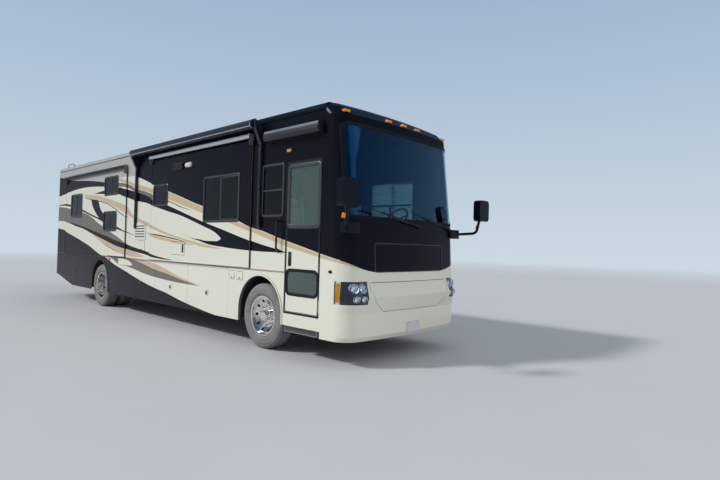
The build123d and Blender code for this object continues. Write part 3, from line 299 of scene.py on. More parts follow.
# Each sweep: its colour, then rows of station, upper edge and lower edge. None stands where an edge
# has no point at that station.
sweeps = {
    "swoosh": (pewter, [
        (-9.6, 2.45, 2.06), (-9, 2.41, None), (-8.9, None, 2.03), (-8.5, 2.365, 1.99), (-8, None, 1.93),
        (-7.5, 2.235, 1.86), (-7, 2.13, 1.78), (-6.5, 1.97, 1.7), (-6.18, 1.876, None), (-6, None, 1.62),
        (-5.79, 1.767, None), (-5.5, None, 1.53), (-5.24, 1.615, None), (-5, None, 1.49),
        (-4.88, 1.5, 1.5)]),
    "lower_quarter": (black, [
        (-9.7, None, 0.3), (-9.5, 1.85, None), (-9, 1.804, None), (-8.5, 1.706, None), (-8, 1.615, None),
        (-7.5, 1.513, None), (-7, 1.406, None), (-6.5, 1.267, None), (-6, 1.155, None), (-5.5, 1.02, None),
        (-5, 0.921, None), (-4.5, 0.819, None), (-4, 0.724, None), (-3.5, 0.648, None), (-3, 0.588, None),
        (-2.5, 0.505, None), (-2, 0.44, None), (-1.5, 0.386, None), (-1, 0.33, None), (-0.9, 0.3, None),
        (2, None, 0.3)]),
    "long_stripe": (black, [
        (-8.95, 2.035, 2.034), (-8.5, 2, 1.98), (-8, 1.952, 1.898), (-7.5, 1.887, 1.833),
        (-7, 1.815, 1.735), (-6.5, 1.735, 1.637), (-6, 1.659, 1.55), (-5.5, 1.576, 1.457),
        (-5, 1.505, 1.392), (-4.5, 1.428, 1.34), (-4, 1.37, 1.295), (-3.5, 1.29, 1.243), (-3, 1.243, 1.224),
        (-2.7, 1.221, 1.221)]),
    "under_stripe": (tan, [
        (-6.9, 1.7, 1.698), (-6.5, 1.632, 1.58), (-6, 1.548, 1.455), (-5.5, 1.452, 1.355),
        (-5, 1.385, 1.265), (-4.5, 1.335, 1.225), (-4.2, 1.285, 1.235), (-4, 1.248, 1.247)]),
    "under_line": (pewter, [
        (-6.33, 1.53, 1.529), (-5.9, 1.436, 1.42), (-5.46, 1.343, 1.327), (-5.13, 1.27, 1.269)]),
    "lower_pewter": (pewter, [
        (-5.9, 1.215, 1.213), (-5.55, None, 1.12), (-5.2, None, 1.02), (-5, 1.215, 1.018),
        (-4.6, None, 0.985), (-4.5, 1.165, None), (-4, 1.09, 0.905), (-3.5, 1.01, 0.862),
        (-3, 0.957, 0.833), (-2.5, 0.886, 0.814), (-2.1, 0.84, None), (-2, None, 0.812),
        (-1.75, 0.814, 0.813)]),
    "cream_tongue": (cream, [
        (-5.3, 1.17, 1.03), (-4.8, 1.143, 1.03), (-4.65, 1.1, 1.035), (-4.56, 1.057, 1.056)]),
    "lower_tan": (tan, [
        (-4.9, 1.21, 1.208), (-4.5, 1.2, 1.16), (-4, 1.165, 1.09), (-3.5, 1.12, 1.01), (-3, 1.03, 0.957),
        (-2.5, 0.926, 0.886), (-2.1, 0.865, 0.84), (-1.85, 0.83, 0.829)]),
    "rear_line": (black, [
        (-9.5, 2.49, 2.475), (-9, 2.506, 2.463), (-8.5, 2.474, 2.42), (-8, 2.4, 2.35), (-7.5, 2.304, 2.26),
        (-7, 2.19, 2.15), (-6.5, 2.093, 2.057), (-6.2, 2.02, 1.985), (-5.8, 1.94, 1.9), (-5.4, 1.872, 1.82),
        (-5, 1.778, 1.755), (-4.6, 1.702, 1.692), (-4.45, 1.681, 1.68)]),
    "crescent": (black, [
        (-7.04, 2.545, 2.544), (-6.98, None, 2.53), (-6.92, None, 2.43), (-6.9, 2.54, None),
        (-6.81, None, 2.32), (-6.75, 2.53, None), (-6.63, None, 2.19), (-6.52, 2.5, None),
        (-6.47, 2.43, None), (-6.44, None, 2.083), (-6.37, 2.3, None), (-6.24, 2.213, None),
        (-6.2, None, 1.99), (-6.1, 2.16, None), (-5.95, None, 1.93), (-5.85, 2.06, 1.92)]),
    "roof_silver": (silver, [
        (-9.7, None, 3.25), (-9, None, 3.2), (-8.5, None, 3.12), (-8, None, 3.07), (-7.5, None, 3.04),
        (-7, None, 3), (-6.5, None, 2.95), (-6.15, None, 2.91), (-5.8, None, 2.88), (-5.3, None, 2.95),
        (-4.5, None, 2.95)]),
    "high_stripe": (black, [
        (-9.6, 3.28, 2.72), (-9, 3.2, 2.775), (-8.5, 3.12, 2.81), (-8, 3.07, 2.845), (-7.5, 3.04, 2.86),
        (-7, 3, 2.855), (-6.5, 2.95, 2.83), (-6.15, 2.91, 2.81), (-5.8, 2.87, 2.8)]),
    "middle_tan": (tan, [
        (-7.55, 2.7, 2.699), (-7.2, 2.67, 2.6), (-6.5, 2.612, 2.507), (-6, 2.53, 2.43), (-5.5, 2.44, 2.31),
        (-5, 2.34, 2.17), (-4.8, 2.24, 2.1), (-4.55, 2.09, 2.02), (-4, 1.97, 1.89), (-3.5, 1.85, 1.79),
        (-3, 1.74, 1.695), (-2.5, 1.655, 1.62), (-2, 1.585, 1.54), (-1.5, 1.525, 1.485),
        (-1.05, 1.475, 1.474)]),
    "middle_line": (black, [
        (-7.5, 2.637, 2.634), (-7.2, 2.584, 2.566), (-6.5, 2.497, 2.478), (-6, 2.419, 2.401),
        (-5.5, 2.279, 2.261), (-5, 2.108, 2.092), (-4.8, 2.056, 2.055)]),
    "wisp": (tan, [
        (-4, 1.75, 1.749), (-3.5, 1.69, 1.63), (-3, 1.63, 1.575), (-2.5, 1.575, 1.53), (-2, 1.53, 1.52)]),
    "wisp_line": (black, [
        (-3.8, 1.726, 1.725), (-3.5, 1.71, 1.69), (-3, 1.666, 1.644), (-2.5, 1.608, 1.592),
        (-2.15, 1.551, 1.55)]),
}

body = Finish("body_paint", coat_roughness=0.03, specular_ior_level=0.1)
body_x, body_y, body_z = body.parts(body.place())
facing_x, facing_y, facing_z = body.parts(body.add("ShaderNodeTexCoord", output="Normal"))
station = body_x - axle_x
side_reach = abs(body_y)
tail_start = -9.45
tail_bow = 0.25
tail_share = (-station).above(-tail_start, 0.1)
height = body_z + tail_share * tail_bow * (1 - (side_reach / half_width) ** 2)
along = (station - line_rear) / (line_front - line_rear)


def painted_edge(rows, column):
    """Height of a painted edge along the side: a smooth curve through that column's points."""
    length, rise = line_front - line_rear, line_high - line_low
    points = [((row[0] - line_rear) / length, (row[column] - line_low) / rise)
              for row in rows if row[column]]
    return body.add("ShaderNodeFloatCurve", {"points": points}, {"Value": along}) * rise + line_low


def sweep_mask(rows):
    """A mask between a sweep's edges. It has no end at the rear corner or past the nose."""
    rear, front = rows[0][0], rows[-1][0]
    limits = [height.above(painted_edge(rows, 2))]
    if any(row[1] for row in rows):
        limits.append(painted_edge(rows, 1).above(height))
    if rear > tail_start:
        limits.append(station.above(rear))
    if front < line_front:
        limits.append((-station).above(-front))
    return prod(limits)


paint = body.mottle(cream, 0.9, 0.015)
for colour, rows in sweeps.values():
    paint = body.blend(sweep_mask(rows), paint, colour)

# The black wedge with its branch, the pewter band and the tan stripe over it run the length of the
# front half into the black top, which starts further back on the driver's side.
wedge = [
    (-6.8, 2.677, 2.676), (-6.3, 2.71, 2.645), (-5.4, 2.745, 2.6), (-5, 2.69, 2.52), (-4.5, 2.6, 2.415),
    (-4, 2.5, 2.35), (-3.65, 2.4, 2.277), (-2.98, 2.255, 2.146), (-2.5, 2.135, 2.058), (-2, 2.008, 1.939),
    (-1.68, 1.93, 1.855), (-1.3, None, 1.75), (-1.13, None, 1.664), (-1.06, None, 1.6), (-1, 1.78, None),
    (-0.5, 1.666, None), (0, 1.566, None), (0.4, 1.5, None), (0.62, 1.46, None)
]
branch = [
    (-2.4, 1.725, 1.722), (-2, 1.64, 1.63), (-1.8, 1.626, 1.6), (-1.5, 1.6, 1.544), (-1.25, 1.6, None),
    (-1.104, 1.64, None), (-1.06, 1.68, None), (-1, None, 1.504), (-0.5, None, 1.476), (0, None, 1.46),
    (0.62, None, 1.459)
]
branch_part = sweep_mask(branch) * painted_edge(wedge, 1).above(height)
paint = body.blend(sweep_mask(wedge).most(branch_part), paint, black)
pewter_band = [
    (-5.35, 2.85, 2.76), (-5, 2.81, 2.73), (-4.5, 2.67, 2.6), (-4, 2.575, 2.5), (-3.65, 2.5, 2.405),
    (-2.98, 2.352, 2.325), (-2.5, 2.23, 2.21), (-2.05, 2.13, 2.129)
]
tan_band = [
    (-5.6, 2.95, 2.948), (-5.2, 2.93, 2.855), (-5, 2.89, 2.82), (-4.5, 2.77, 2.68), (-4, 2.68, 2.585),
    (-3.65, 2.62, 2.515), (-2.98, 2.52, 2.374), (-2.5, 2.394, 2.265), (-2, 2.26, 2.147),
    (-1.68, None, 2.07), (-1, 2.01, 1.93), (-0.5, None, 1.81), (0, 1.76, 1.69), (0.5, None, 1.565),
    (1, 1.526, 1.47), (1.5, None, 1.38), (1.65, 1.385, None), (1.86, None, 1.335)
]
black_top = [
    (-5.8, 3.6), (-5.35, 3.3), (-4.9, 3.03), (-4.5, 2.93), (-4, 2.8), (-3.65, 2.695), (-2.98, 2.528),
    (-2.5, 2.404), (-2, 2.27), (-1.68, 2.194), (-1, 2.02), (-0.6, 1.924), (-0.27, 1.826), (0, 1.77),
    (0.4, 1.67), (1, 1.536), (1.29, 1.47), (1.65, 1.395)
]
paint = body.blend(sweep_mask(pewter_band), paint, pewter)
paint = body.blend(sweep_mask(tan_band), paint, tan)
nose_start = 1.65
seam_lap = 0.004
black_start = (body_y.above(0) * station.above(-5.8)).most(station.above(-4.5))
black_end = (-station).above(-nose_start - seam_lap)
black_share = height.above(painted_edge(black_top, 1)) * black_start * black_end
paint = body.blend(black_share, paint, black)

# On the nose the black drops in a shallow curve below the screen, with the tan thinning under it.
# Faces that look inward are grey, painted dark as shade where they face into the cabin and black
# as shade inside the rear cap and its louvre slots. The roof is white, and dust lies along the foot
# of the walls.
edge_low, edge_flat, edge_rise = 1.24, 0.7, 0.475
tan_from, tan_widening = 0.95, 0.035 / 0.3
nose_share = station.above(nose_start)
nose_edge = edge_low + edge_rise * (side_reach - edge_flat).most(0) ** 2
tan_width = tan_widening * (side_reach - tan_from).most(0)
nose_tan = height.above(nose_edge - tan_width) * nose_edge.above(height)
paint = body.blend(nose_share * nose_tan, paint, tan)
paint = body.blend(nose_share * height.above(nose_edge), paint, black)
nose_turn, tail_turn, roof_turn = 0.9, -9.3, 3.2
past_nose = (station - nose_turn).most(0)
past_tail = (station - tail_turn).least(0)
over_roof = (height - roof_turn).most(0)
outward = facing_y * body_y + facing_x * (past_nose + past_tail) + facing_z * over_roof
outer_face = outward.above(0.02, 0.02)
roof_front, roof_foot, near_level = 1.3, 3.44, 0.92
roof_top = facing_z.above(near_level, 0.03) * (1 - station.above(roof_front)) * height.above(roof_foot)
paint = body.blend(roof_top, paint, body.mottle(roof_white, 4, 0.06))
roller_reach, roller_foot = 1.3092, 3.1
white_rear, white_foot = -4.4, 3.2
awning_roll = side_reach.above(roller_reach, 0.001) * height.above(roller_foot)
living_roll = awning_roll * (1 - body_y.above(0)) * station.above(white_rear) * height.above(white_foot)
paint = body.blend(awning_roll, paint, black)
paint = body.blend(living_roll, paint, roller_white)
# Faces looking into the cabin take a dark painted shade, and inside the rear cap they are painted black as
# shade.
inner = body.blend((-outward).above(0.1, 0.02), body.mottle(inner_grey, 6, 0.05), cabin_painted_shade)
inner = body.blend((-station).above(-tail_turn), inner, black)
paint = body.blend(outer_face, inner, paint)
dust_top, dust_amount = 0.55, 0.06
dust = body.noise(3.0, 5) * (1 - height.above(dust_top, 0.5)) * dust_amount
paint = body.blend(dust, paint, road_dust)
body.paint("Base Color", paint)
body.paint("Roughness", 0.24 + 0.1 * body.noise(14, 4) + 0.3 * dust + 0.3 * (1 - outer_face))
shade = body.add("ShaderNodeRGBToBW", values={0: paint})
body.paint("Coat Weight", outer_face * (1 - dust) * (0.1 + shade).clamped())
body.bump(body.noise(180, 2), 0.03, 0.001)

painted = ["right_wall", "left_wall", "skirt_panels", "roof", "front_cap", "front_bumper", "front_hatch",
           "rear_cap", "engine_door", "entry_door", "right_living_slide", "right_bedroom_slide",
           "left_living_slide"]
bay_doors = [name for name in nodes if "bay_door" in name]


def dress(finish, *names):
    """Gives CAD nodes a finish in place of their plain one."""
    for name in names:
        for slot in nodes[name].material_slots:
            slot.material = finish.material


dress(body, *painted, *bay_doors)

# Tinted glazing: bonded panes, each in a dark anodised aluminium frame that stands a little proud of
# the skin. Wide panes slide behind a centre bar, and a black rubber bead seals each frame.
tint = Finish("tinted_glass", gloss=(0.015, 0.03, 5, 4), transmission_weight=0.94, ior=1.36)
tint_x, tint_y, _ = tint.parts(tint.place())
driver_pane = tint_y.above(0) * tint_x.above(at(-0.4))
# The teal of the side panes is partly their tint and partly a painted reflection.
tint.paint("Base Color", tint.blend(driver_pane, (0.012, 0.046, 0.046), (0.8, 0.86, 0.83)))
frame_metal = Finish("anodised_frame", ((0.075, 0.08, 0.09), 30, 0.1), (0.3, 0.15, 45), metallic=0.6)
rubber = Finish("black_rubber", ((0.006, 0.0065, 0.008), 20, 0.3), grain=(220, 0.15, 0.0006),
                roughness=0.6, specular_ior_level=0.25)


def ring(middle, radius, side, other, steps):
    """Points of a circle that starts along side and turns towards other."""
    return [middle + radius * (cos(2 * pi * i / steps) * side + sin(2 * pi * i / steps) * other)
            for i in range(steps)]


class Shape:
    """Gathers the points and faces of one piece until it is placed."""

    def __init__(self):
        self.points = []
        self.faces = []

    def add(self, points, faces):
        first = len(self.points)
        self.points += [tuple(point) for point in points]
        self.faces += [tuple(first + i for i in face) for face in faces]
        return self

    def loft(self, loops, closed=False):
        """Skins a row of loops that have the same count of points, and caps it unless it closes."""
        count, rows = len(loops[0]), len(loops)
        faces = []
        for row in range(rows if closed else rows - 1):
            a, b = row * count, (row + 1) % rows * count
            faces += [(a + i, a + (i + 1) % count, b + (i + 1) % count, b + i) for i in range(count)]
        if not closed:
            faces += [tuple(range(count)), tuple((rows - 1) * count + i for i in range(count))]
        return self.add([point for loop in loops for point in loop], faces)

    def bar(self, low, high, soft=0.004):
        """A block with softened edges between two corners."""
        form = bmesh.new()
        bmesh.ops.create_cube(form, size=1)
        size, middle = Vector(high) - Vector(low), (Vector(high) + Vector(low)) / 2
        for vert in form.verts:
            vert.co = Vector(vert.co[i] * size[i] + middle[i] for i in range(3))
        if soft:
            bmesh.ops.bevel(form, geom=form.edges[:], offset=min(soft, min(size) * 0.45), segments=2,
                            profile=0.5, affect="EDGES")
        form.verts.index_update()
        self.add([vert.co for vert in form.verts], [[v.index for v in face.verts] for face in form.faces])
        form.free()
        return self

    def block(self, middle, half):
        """A bar round its middle, with half its size to each side."""
        middle, half = Vector(middle), Vector(half)
        return self.bar(middle - half, middle + half)

    def spin(self, centre, axis, profile, steps=48, closed=False):
        """Turns a profile of (radius, place along the axis) about an axis through a centre."""
        way = Vector(axis).normalized()
        side = way.orthogonal().normalized()
        other = way.cross(side)
        return self.loft([ring(Vector(centre) + way * place, radius, side, other, steps)
                          for radius, place in profile], closed)

    def tube(self, path, radius, sides=12):
        """A round bar along a path."""
        path = [Vector(point) for point in path]
        loops, side = [], None
        for i, point in enumerate(path):
            way = (path[min(i + 1, len(path) - 1)] - path[max(i - 1, 0)]).normalized()
            side = (side - way * side.dot(way)).normalized() if side else way.orthogonal().normalized()
            loops.append(ring(point, radius, side, way.cross(side), sides))
        return self.loft(loops)

    def place(self, name, finish, slot=None, rides="coach", crease=32):
        """Makes the piece, sets it on its body and gives it its finish."""
        mesh = bpy.data.meshes.new(name)
        mesh.from_pydata(self.points, [], self.faces)
        form = bmesh.new()
        form.from_mesh(mesh)
        bmesh.ops.recalc_face_normals(form, faces=form.faces)
        form.to_mesh(mesh)
        form.free()
        mesh.materials.append(finish.material)
        mesh.shade_smooth()
        mesh.set_sharp_from_angle(angle=radians(crease))
        piece = bpy.data.objects.new(name, mesh)
        scene.collection.objects.link(piece)
        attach(piece, rides)
        return piece


def islands(name):
    """Lowest and highest corners of each separate solid of a node, from the rear forward."""
    form = bmesh.new()
    form.from_mesh(nodes[name].data)
    bmesh.ops.remove_doubles(form, verts=form.verts, dist=1e-5)
    left, found = set(form.verts), []
    while left:
        reached, group = [left.pop()], []
        while reached:
            vert = reached.pop()
            group.append(vert.co.copy())
            for edge in vert.link_edges:
                other = edge.other_vert(vert)
                if other in left:
                    left.remove(other)
                    reached.append(other)
        found.append([Vector(pick(point[i] for point in group) for i in range(3)) for pick in (min, max)])
    form.free()
    return sorted(found, key=lambda pair: tuple(pair[0]))


def rounded(x0, x1, z0, z1, radius, steps=6):
    """Outline of a rounded rectangle as (x, z) points."""
    radius = max(radius, 0.001)
    corners = ((x1 - radius, z1 - radius, 0), (x0 + radius, z1 - radius, 90),
               (x0 + radius, z0 + radius, 180), (x1 - radius, z0 + radius, 270))
    turns = [90 * i / steps for i in range(steps + 1)]
    return [(cx + radius * cos(radians(a + turn)), cz + radius * sin(radians(a + turn)))
            for cx, cz, a in corners for turn in turns]


def side_ring(shape, low, high, corner, side, face, profile):
    """A frame on a side wall round a rounded rectangle. Profile: (growth, distance out of the face)."""
    loops = []
    for grow, out in profile:
        outline = rounded(low.x - grow, high.x + grow, low.z - grow, high.z + grow, corner + grow)
        loops.append([(x, side * (face + out), z) for x, z in outline])
    return shape.loft(loops, closed=True)


frame_profile = [(-0.012, -0.01), (-0.012, 0.003), (-0.006, 0.009), (0.016, 0.009), (0.022, 0.005),
                 (0.022, -0.003)]
bead_profile = [(0.021, -0.002), (0.021, 0.004), (0.027, 0.003), (0.028, -0.002)]
sash_profile = [(-0.013, -0.012), (-0.013, -0.003), (-0.03, -0.003), (-0.03, -0.012)]
barred_from = 0.7
bar_half, rail_half = 0.014, 0.012
bar_depth = 0.004
bar_soft = 0.003
room_bodies = {"right_living_slide": "right_living_room", "right_bedroom_slide": "right_bedroom_room",
               "left_living_slide": "left_living_room"}
glazed = [("side_glass", "coach", 0.04, half_width)]
for room, rides in room_bodies.items():
    outermost = max(abs(corner.y) for pair in islands(f"{room}_glass") for corner in pair)
    glazed.append((f"{room}_glass", rides, 0.035, outermost + 0.006))
for node, rides, corner, face in glazed:
    dress(tint, node)
    frames, beads = Shape(), Shape()
    for low, high in islands(node):
        side = 1 if low.y > 0 else -1
        side_ring(frames, low, high, corner, side, face, frame_profile)
        side_ring(beads, low, high, corner, side, face, bead_profile)
        near, far = sorted((side * (face - bar_depth), side * (face + bar_depth)))
        middle = (low + high) / 2
        if high.x - low.x > barred_from:
            frames.bar((middle.x - bar_half, near, low.z), (middle.x + bar_half, far, high.z), bar_soft)
            side_ring(frames, Vector((middle.x, 0, low.z)), high, corner, side, face, sash_profile)
        elif high.z - low.z > barred_from:
            frames.bar((low.x, near, middle.z - rail_half), (high.x, far, middle.z + rail_half), bar_soft)
    frames.place(f"{node}_frames", frame_metal, rides=rides)
    beads.place(f"{node}_beads", rubber, "black_plastic", rides)

# Pleated day shades hang inside the small windows and the driver's window, drawn down behind the
# tinted glass. Their pleats run across and are stitched to two cords that can't be seen.
shade_cloth = Finish("shade_cloth", ((0.74, 0.8, 0.76), 90, 0.06), grain=(400, 0.3, 0.0004),
                     roughness=0.9, transmission_weight=0.45, ior=1.1)
pleat_pitch = 0.042
pleat_depth = 0.01
shade_skin = 0.0012
shade_inset = 0.02
side_play = 0.004
end_play = 0.002
bar_play = 0.001
widest_shaded = 0.9
for node, rides, _, _ in glazed:
    for number, (low, high) in enumerate(islands(node)):
        driver = node == "side_glass" and low.y > 0 and low.x > 0
        if not driver and (node == "side_glass" or high.x - low.x > widest_shaded):
            continue
        side = 1 if low.y > 0 else -1
        back = side * (min(abs(low.y), abs(high.y)) - shade_inset)
        size = 2 if driver else 1
        count = round((high.z - low.z) / (pleat_pitch * size)) * 2
        drop = high.z - low.z - 2 * end_play
        wave = [(back - side * pleat_depth * size * (i % 2), low.z + end_play + drop * i / count)
                for i in range(count + 1)]
        outline = wave + [(y - side * shade_skin, z) for y, z in reversed(wave)]
        ends = [[(x, y, z) for y, z in outline] for x in (low.x + side_play, high.x - side_play)]
        run = sum(hypot(b[0] - a[0], b[1] - a[1]) for a, b in zip(wave, wave[1:]))
        cloth = Shape().loft(ends).place(f"{node}_shade_{number}", shade_cloth, rides=rides, crease=20)
        if driver:
            near, far = back - 0.05, back - 0.025
            across, upright = low.z + (high.z - low.z) * 0.48, (low.x + high.x) / 2
            bars = Shape()
            bars.bar((low.x + bar_play, near, across - bar_half),
                     (high.x - bar_play, far, across + bar_half))
            bars.bar((upright - rail_half, near, low.z + bar_play), (upright + rail_half, far, across))
            bars.place("driver_window_bars", rubber, "black_plastic", rides)

# Windscreen: one wrapped, blue-tinted pane bonded into the cap, its reflections tinted blue as a
# painted reflection of sky, with a black rubber bead and a thin black moulding round it. A bare framed
# panel of gloss black fills the nose below it, and a black seal lies in the seam over the front hatch.
screen = Finish("screen_glass", gloss=(0.01, 0.03, 3, 5), base_color=(0.42, 0.74, 0.88),
                # The specular tint paints a blue reflection of sky onto the pane.
                transmission_weight=1.0, ior=1.5, specular_tint=(0.07, 0.4, 1.0))
dress(screen, "windshield")


def skin_of(*names):
    """A tree for casting rays onto CAD nodes."""
    points, faces = [], []
    for name in names:
        first = len(points)
        points += [vert.co for vert in nodes[name].data.vertices]
        faces += [[first + i for i in face.vertices] for face in nodes[name].data.polygons]
    return BVHTree.FromPolygons(points, faces)


nose_skin = skin_of("front_cap", "windshield", "front_bumper", "front_hatch", "headlamp_lenses")
ring_step = 0.12


def on_nose(y, z, out=0.0):
    """The point of the nose in front of (y, z), lifted out along the skin."""
    hit, normal = nose_skin.ray_cast(Vector((cad_high.x + 1, y, z)), Vector((-1, 0, 0)))[:2]
    return hit + normal * (out if normal.x > 0 else -out)


def nose_ring(y0, y1, z0, z1, corner, profile):
    """A frame that follows the curve of the nose round a rounded rectangle."""
    loops = []
    for grow, out in profile:
        outline = rounded(y0 - grow, y1 + grow, z0 - grow, z1 + grow, corner + grow, steps=8)
        dense = []
        for (a, b), (c, d) in zip(outline, outline[1:] + outline[:1]):
            pieces = max(1, ceil(hypot(c - a, d - b) / ring_step))
            dense += [(a + (c - a) * i / pieces, b + (d - b) * i / pieces) for i in range(pieces)]
        loops.append([on_nose(y, z, out) for y, z in dense])
    count = min(len(loop) for loop in loops)
    if any(len(loop) != count for loop in loops):
        loops = [[loop[round(i * len(loop) / count) % len(loop)] for i in range(count)] for loop in loops]
    return Shape().loft(loops, closed=True)


screen_low, screen_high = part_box("windshield")
screen_box = (screen_low.y, screen_high.y, screen_low.z, screen_high.z, 0.09)
panel_box = (-0.78, 0.78, 1.25, 1.62, 0.03)
bead = nose_ring(*screen_box, [(-0.028, -0.002), (-0.028, 0.003), (-0.006, 0.006), (0.004, 0.006),
                               (0.006, -0.002)])
bead.place("screen_bead", rubber, "black_plastic")
moulding = nose_ring(*screen_box, [(0.005, -0.002), (0.005, 0.007), (0.01, 0.009), (0.015, 0.007),
                                   (0.016, -0.002)])
moulding.place("screen_moulding", rubber, "black_plastic")
panel_frame = nose_ring(*panel_box, [(0, -0.002), (0, 0.005), (0.004, 0.008), (0.011, 0.008),
                                     (0.014, 0.004), (0.014, -0.002)])
panel_frame.place("nose_panel_frame", frame_metal)
seam_height = 1.1045
seam_half = 0.86
seam_line = [on_nose(seam_half * (i / 20 - 1), seam_height) for i in range(41)]
Shape().tube(seam_line, 0.0032, 8).place("hatch_seam_seal", rubber, "black_plastic")

# Roof fittings: two air-conditioner shrouds of moulded plastic with slatted sides, three vents under
# hinged lids and a smoked skylight, all bedded on the roof skin.
roof_plastic = Finish("roof_plastic", ((0.66, 0.66, 0.63), 7, 0.08), (0.4, 0.15, 20),
                      (260, 0.08, 0.0005))
slat_black = Finish("slat_black", ((0.018, 0.018, 0.02), 40, 0.25), (0.45, 0.2, 90),
                    specular_ior_level=0.25)
dress(roof_plastic, "roof_units")
shroud_from = 0.2
shroud_slope = slope_of(radians(20))
slat_rows, slat_pitch, slat_foot = 6, 0.034, 0.06
slat_depth, slat_tall = 0.007, 0.009
side_slat, end_slat = 0.37, 0.22
skylight_from = 0.5
lid_foot, lid_corner = 0.02, 0.05
lid_steps = [(-0.014, -0.035), (-0.014, -0.006), (-0.006, 0.004), (0.02, 0.01), (0.09, 0.016)]
for number, (low, high) in enumerate(islands("roof_units")):
    middle, size = (low + high) / 2, high - low
    fitting = Shape()
    if size.z > shroud_from:
        for row in range(slat_rows):
            z = low.z + slat_foot + slat_pitch * row
            lean = (z - low.z) * shroud_slope
            for side in (-1, 1):
                y = middle.y + side * (size.y / 2 - lean)
                fitting.block((middle.x, y, z), (side_slat, slat_depth, slat_tall))
            fitting.block((low.x + lean, middle.y, z), (slat_depth, end_slat, slat_tall))
        fitting.place(f"shroud_slats_{number}", slat_black, "black_plastic")
    else:
        skylight = size.x > skylight_from
        inset = (size.z - lid_foot) * slope_of(radians(25 if skylight else 12))
        loops = []
        for shrink, rise in lid_steps:
            edge = inset + shrink
            outline = rounded(low.x + edge, high.x - edge, low.y + edge, high.y - edge, lid_corner)
            loops.append([(x, y, high.z + rise) for x, y in outline])
        fitting.loft(loops).place(f"roof_lid_{number}", slat_black if skylight else roof_plastic)

# Belt moulding: two half-round ribs of dark red vinyl in a cream channel, screwed over the joint
# between the walls and the lower panels on both sides.
belt_vinyl = Finish("belt_vinyl", ((0.17, 0.014, 0.028), 12, 0.2), roughness=0.4)
belt_low, belt_high, belt_rear = 1.168, 1.194, at(-9.42)
belt_back, belt_face = half_width - 0.002, half_width + 0.003
rib_inset, rib_radius = 0.007, 0.0032
for side, word, belt_front in ((-1, "right", at(0.545)), (1, "left", at(1.318))):
    ribs, channel = Shape(), Shape()
    near, far = sorted((side * belt_back, side * belt_face))
    channel.bar((belt_rear, near, belt_low), (belt_front, far, belt_high), 0.001)
    for z in (belt_low + rib_inset, belt_high - rib_inset):
        ribs.tube([(belt_rear, side * belt_face, z), (belt_front, side * belt_face, z)], rib_radius, 8)
    channel.place(f"{word}_belt_channel", body, "body_paint")
    ribs.place(f"{word}_belt_ribs", belt_vinyl, "black_plastic")

# Slide-room seals: a black bulb seal runs round the back of each room's flange, and a slim painted
# bead is laid on its face.
room_face = 1.3085
flange_low, flange_corner = 1.2, 0.001
flange_tops = {"right_living_slide": 3.165, "right_bedroom_slide": 3.085, "left_living_slide": 3.165}
bulb_profile = [(-0.004, -0.024), (-0.004, -0.01), (0.003, -0.012), (0.003, -0.024)]
flange_profile = [(-0.003, -0.001), (-0.004, 0.003), (-0.024, 0.003), (-0.026, -0.001)]
for node, rides in room_bodies.items():
    low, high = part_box(node)
    side = 1 if high.y > 1 else -1
    flange = Vector((low.x, 0, flange_low)), Vector((high.x, 0, flange_tops[node]))
    seal = side_ring(Shape(), *flange, flange_corner, side, room_face, bulb_profile)
    seal.place(f"{node}_seal", rubber, "black_plastic", rides)
    bead = side_ring(Shape(), *flange, flange_corner, side, room_face, flange_profile)
    bead.place(f"{node}_face_bead", body, "body_paint", rides)

# Bay-door latches: a cream moulded plate in the middle of each door with a black paddle set in it,
# over the lock that it covers. Each rides on its door.
latch_height = 0.72


def pad(shape, put, across, z, wide, tall, corner, steps):
    """A low moulding on a flat face. Steps: (inset of the outline, distance out of the face)."""
    loops = []
    for inset, out in steps:
        half_wide, half_tall = wide / 2 - inset, tall / 2 - inset
        outline = rounded(across - half_wide, across + half_wide, z - half_tall, z + half_tall,
                          max(corner - inset, 0.002))
        loops.append([put(a, b, out) for a, b in outline])
    return shape.loft(loops)


def side_pad(shape, side, x, *form, face=half_width):
    """A pad on a side wall."""
    return pad(shape, lambda a, b, out: (a, side * (face + out), b), x, *form)


def kerb_pads(rows, face=half_width):
    """Pads on the kerb side. Rows: shape, station, height, width, length up, corner, steps."""
    for shape, spot, *form in rows:
        side_pad(shape, -1, at(spot), *form, face=face)


def bedded(side_out, bevel, top_out):
    """Steps of a moulding whose foot is sunk in its face, with a bevel up to its top."""
    return [(0, -0.004), (0, side_out), (bevel, top_out)]


plate_steps = bedded(0.003, 0.003, 0.005)
for name in bay_doors:
    low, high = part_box(name)
    side = 1 if high.y > 0 else -1
    middle = (low.x + high.x) / 2
    plate, paddle = Shape(), Shape()
    side_pad(plate, side, middle, latch_height, 0.105, 0.105, 0.02, plate_steps)
    side_pad(paddle, side, middle, latch_height - 0.006, 0.062, 0.058, 0.012,
             [(0, 0.002), (0, 0.0065), (0.004, 0.008)])
    side_pad(paddle, side, middle, latch_height + 0.036, 0.018, 0.014, 0.006, [(0, 0.002), (0.001, 0.007)])
    plate.place(f"{name}_latch_plate", body, "body_paint", name)
    paddle.place(f"{name}_latch_paddle", frame_metal, "black_plastic", name)

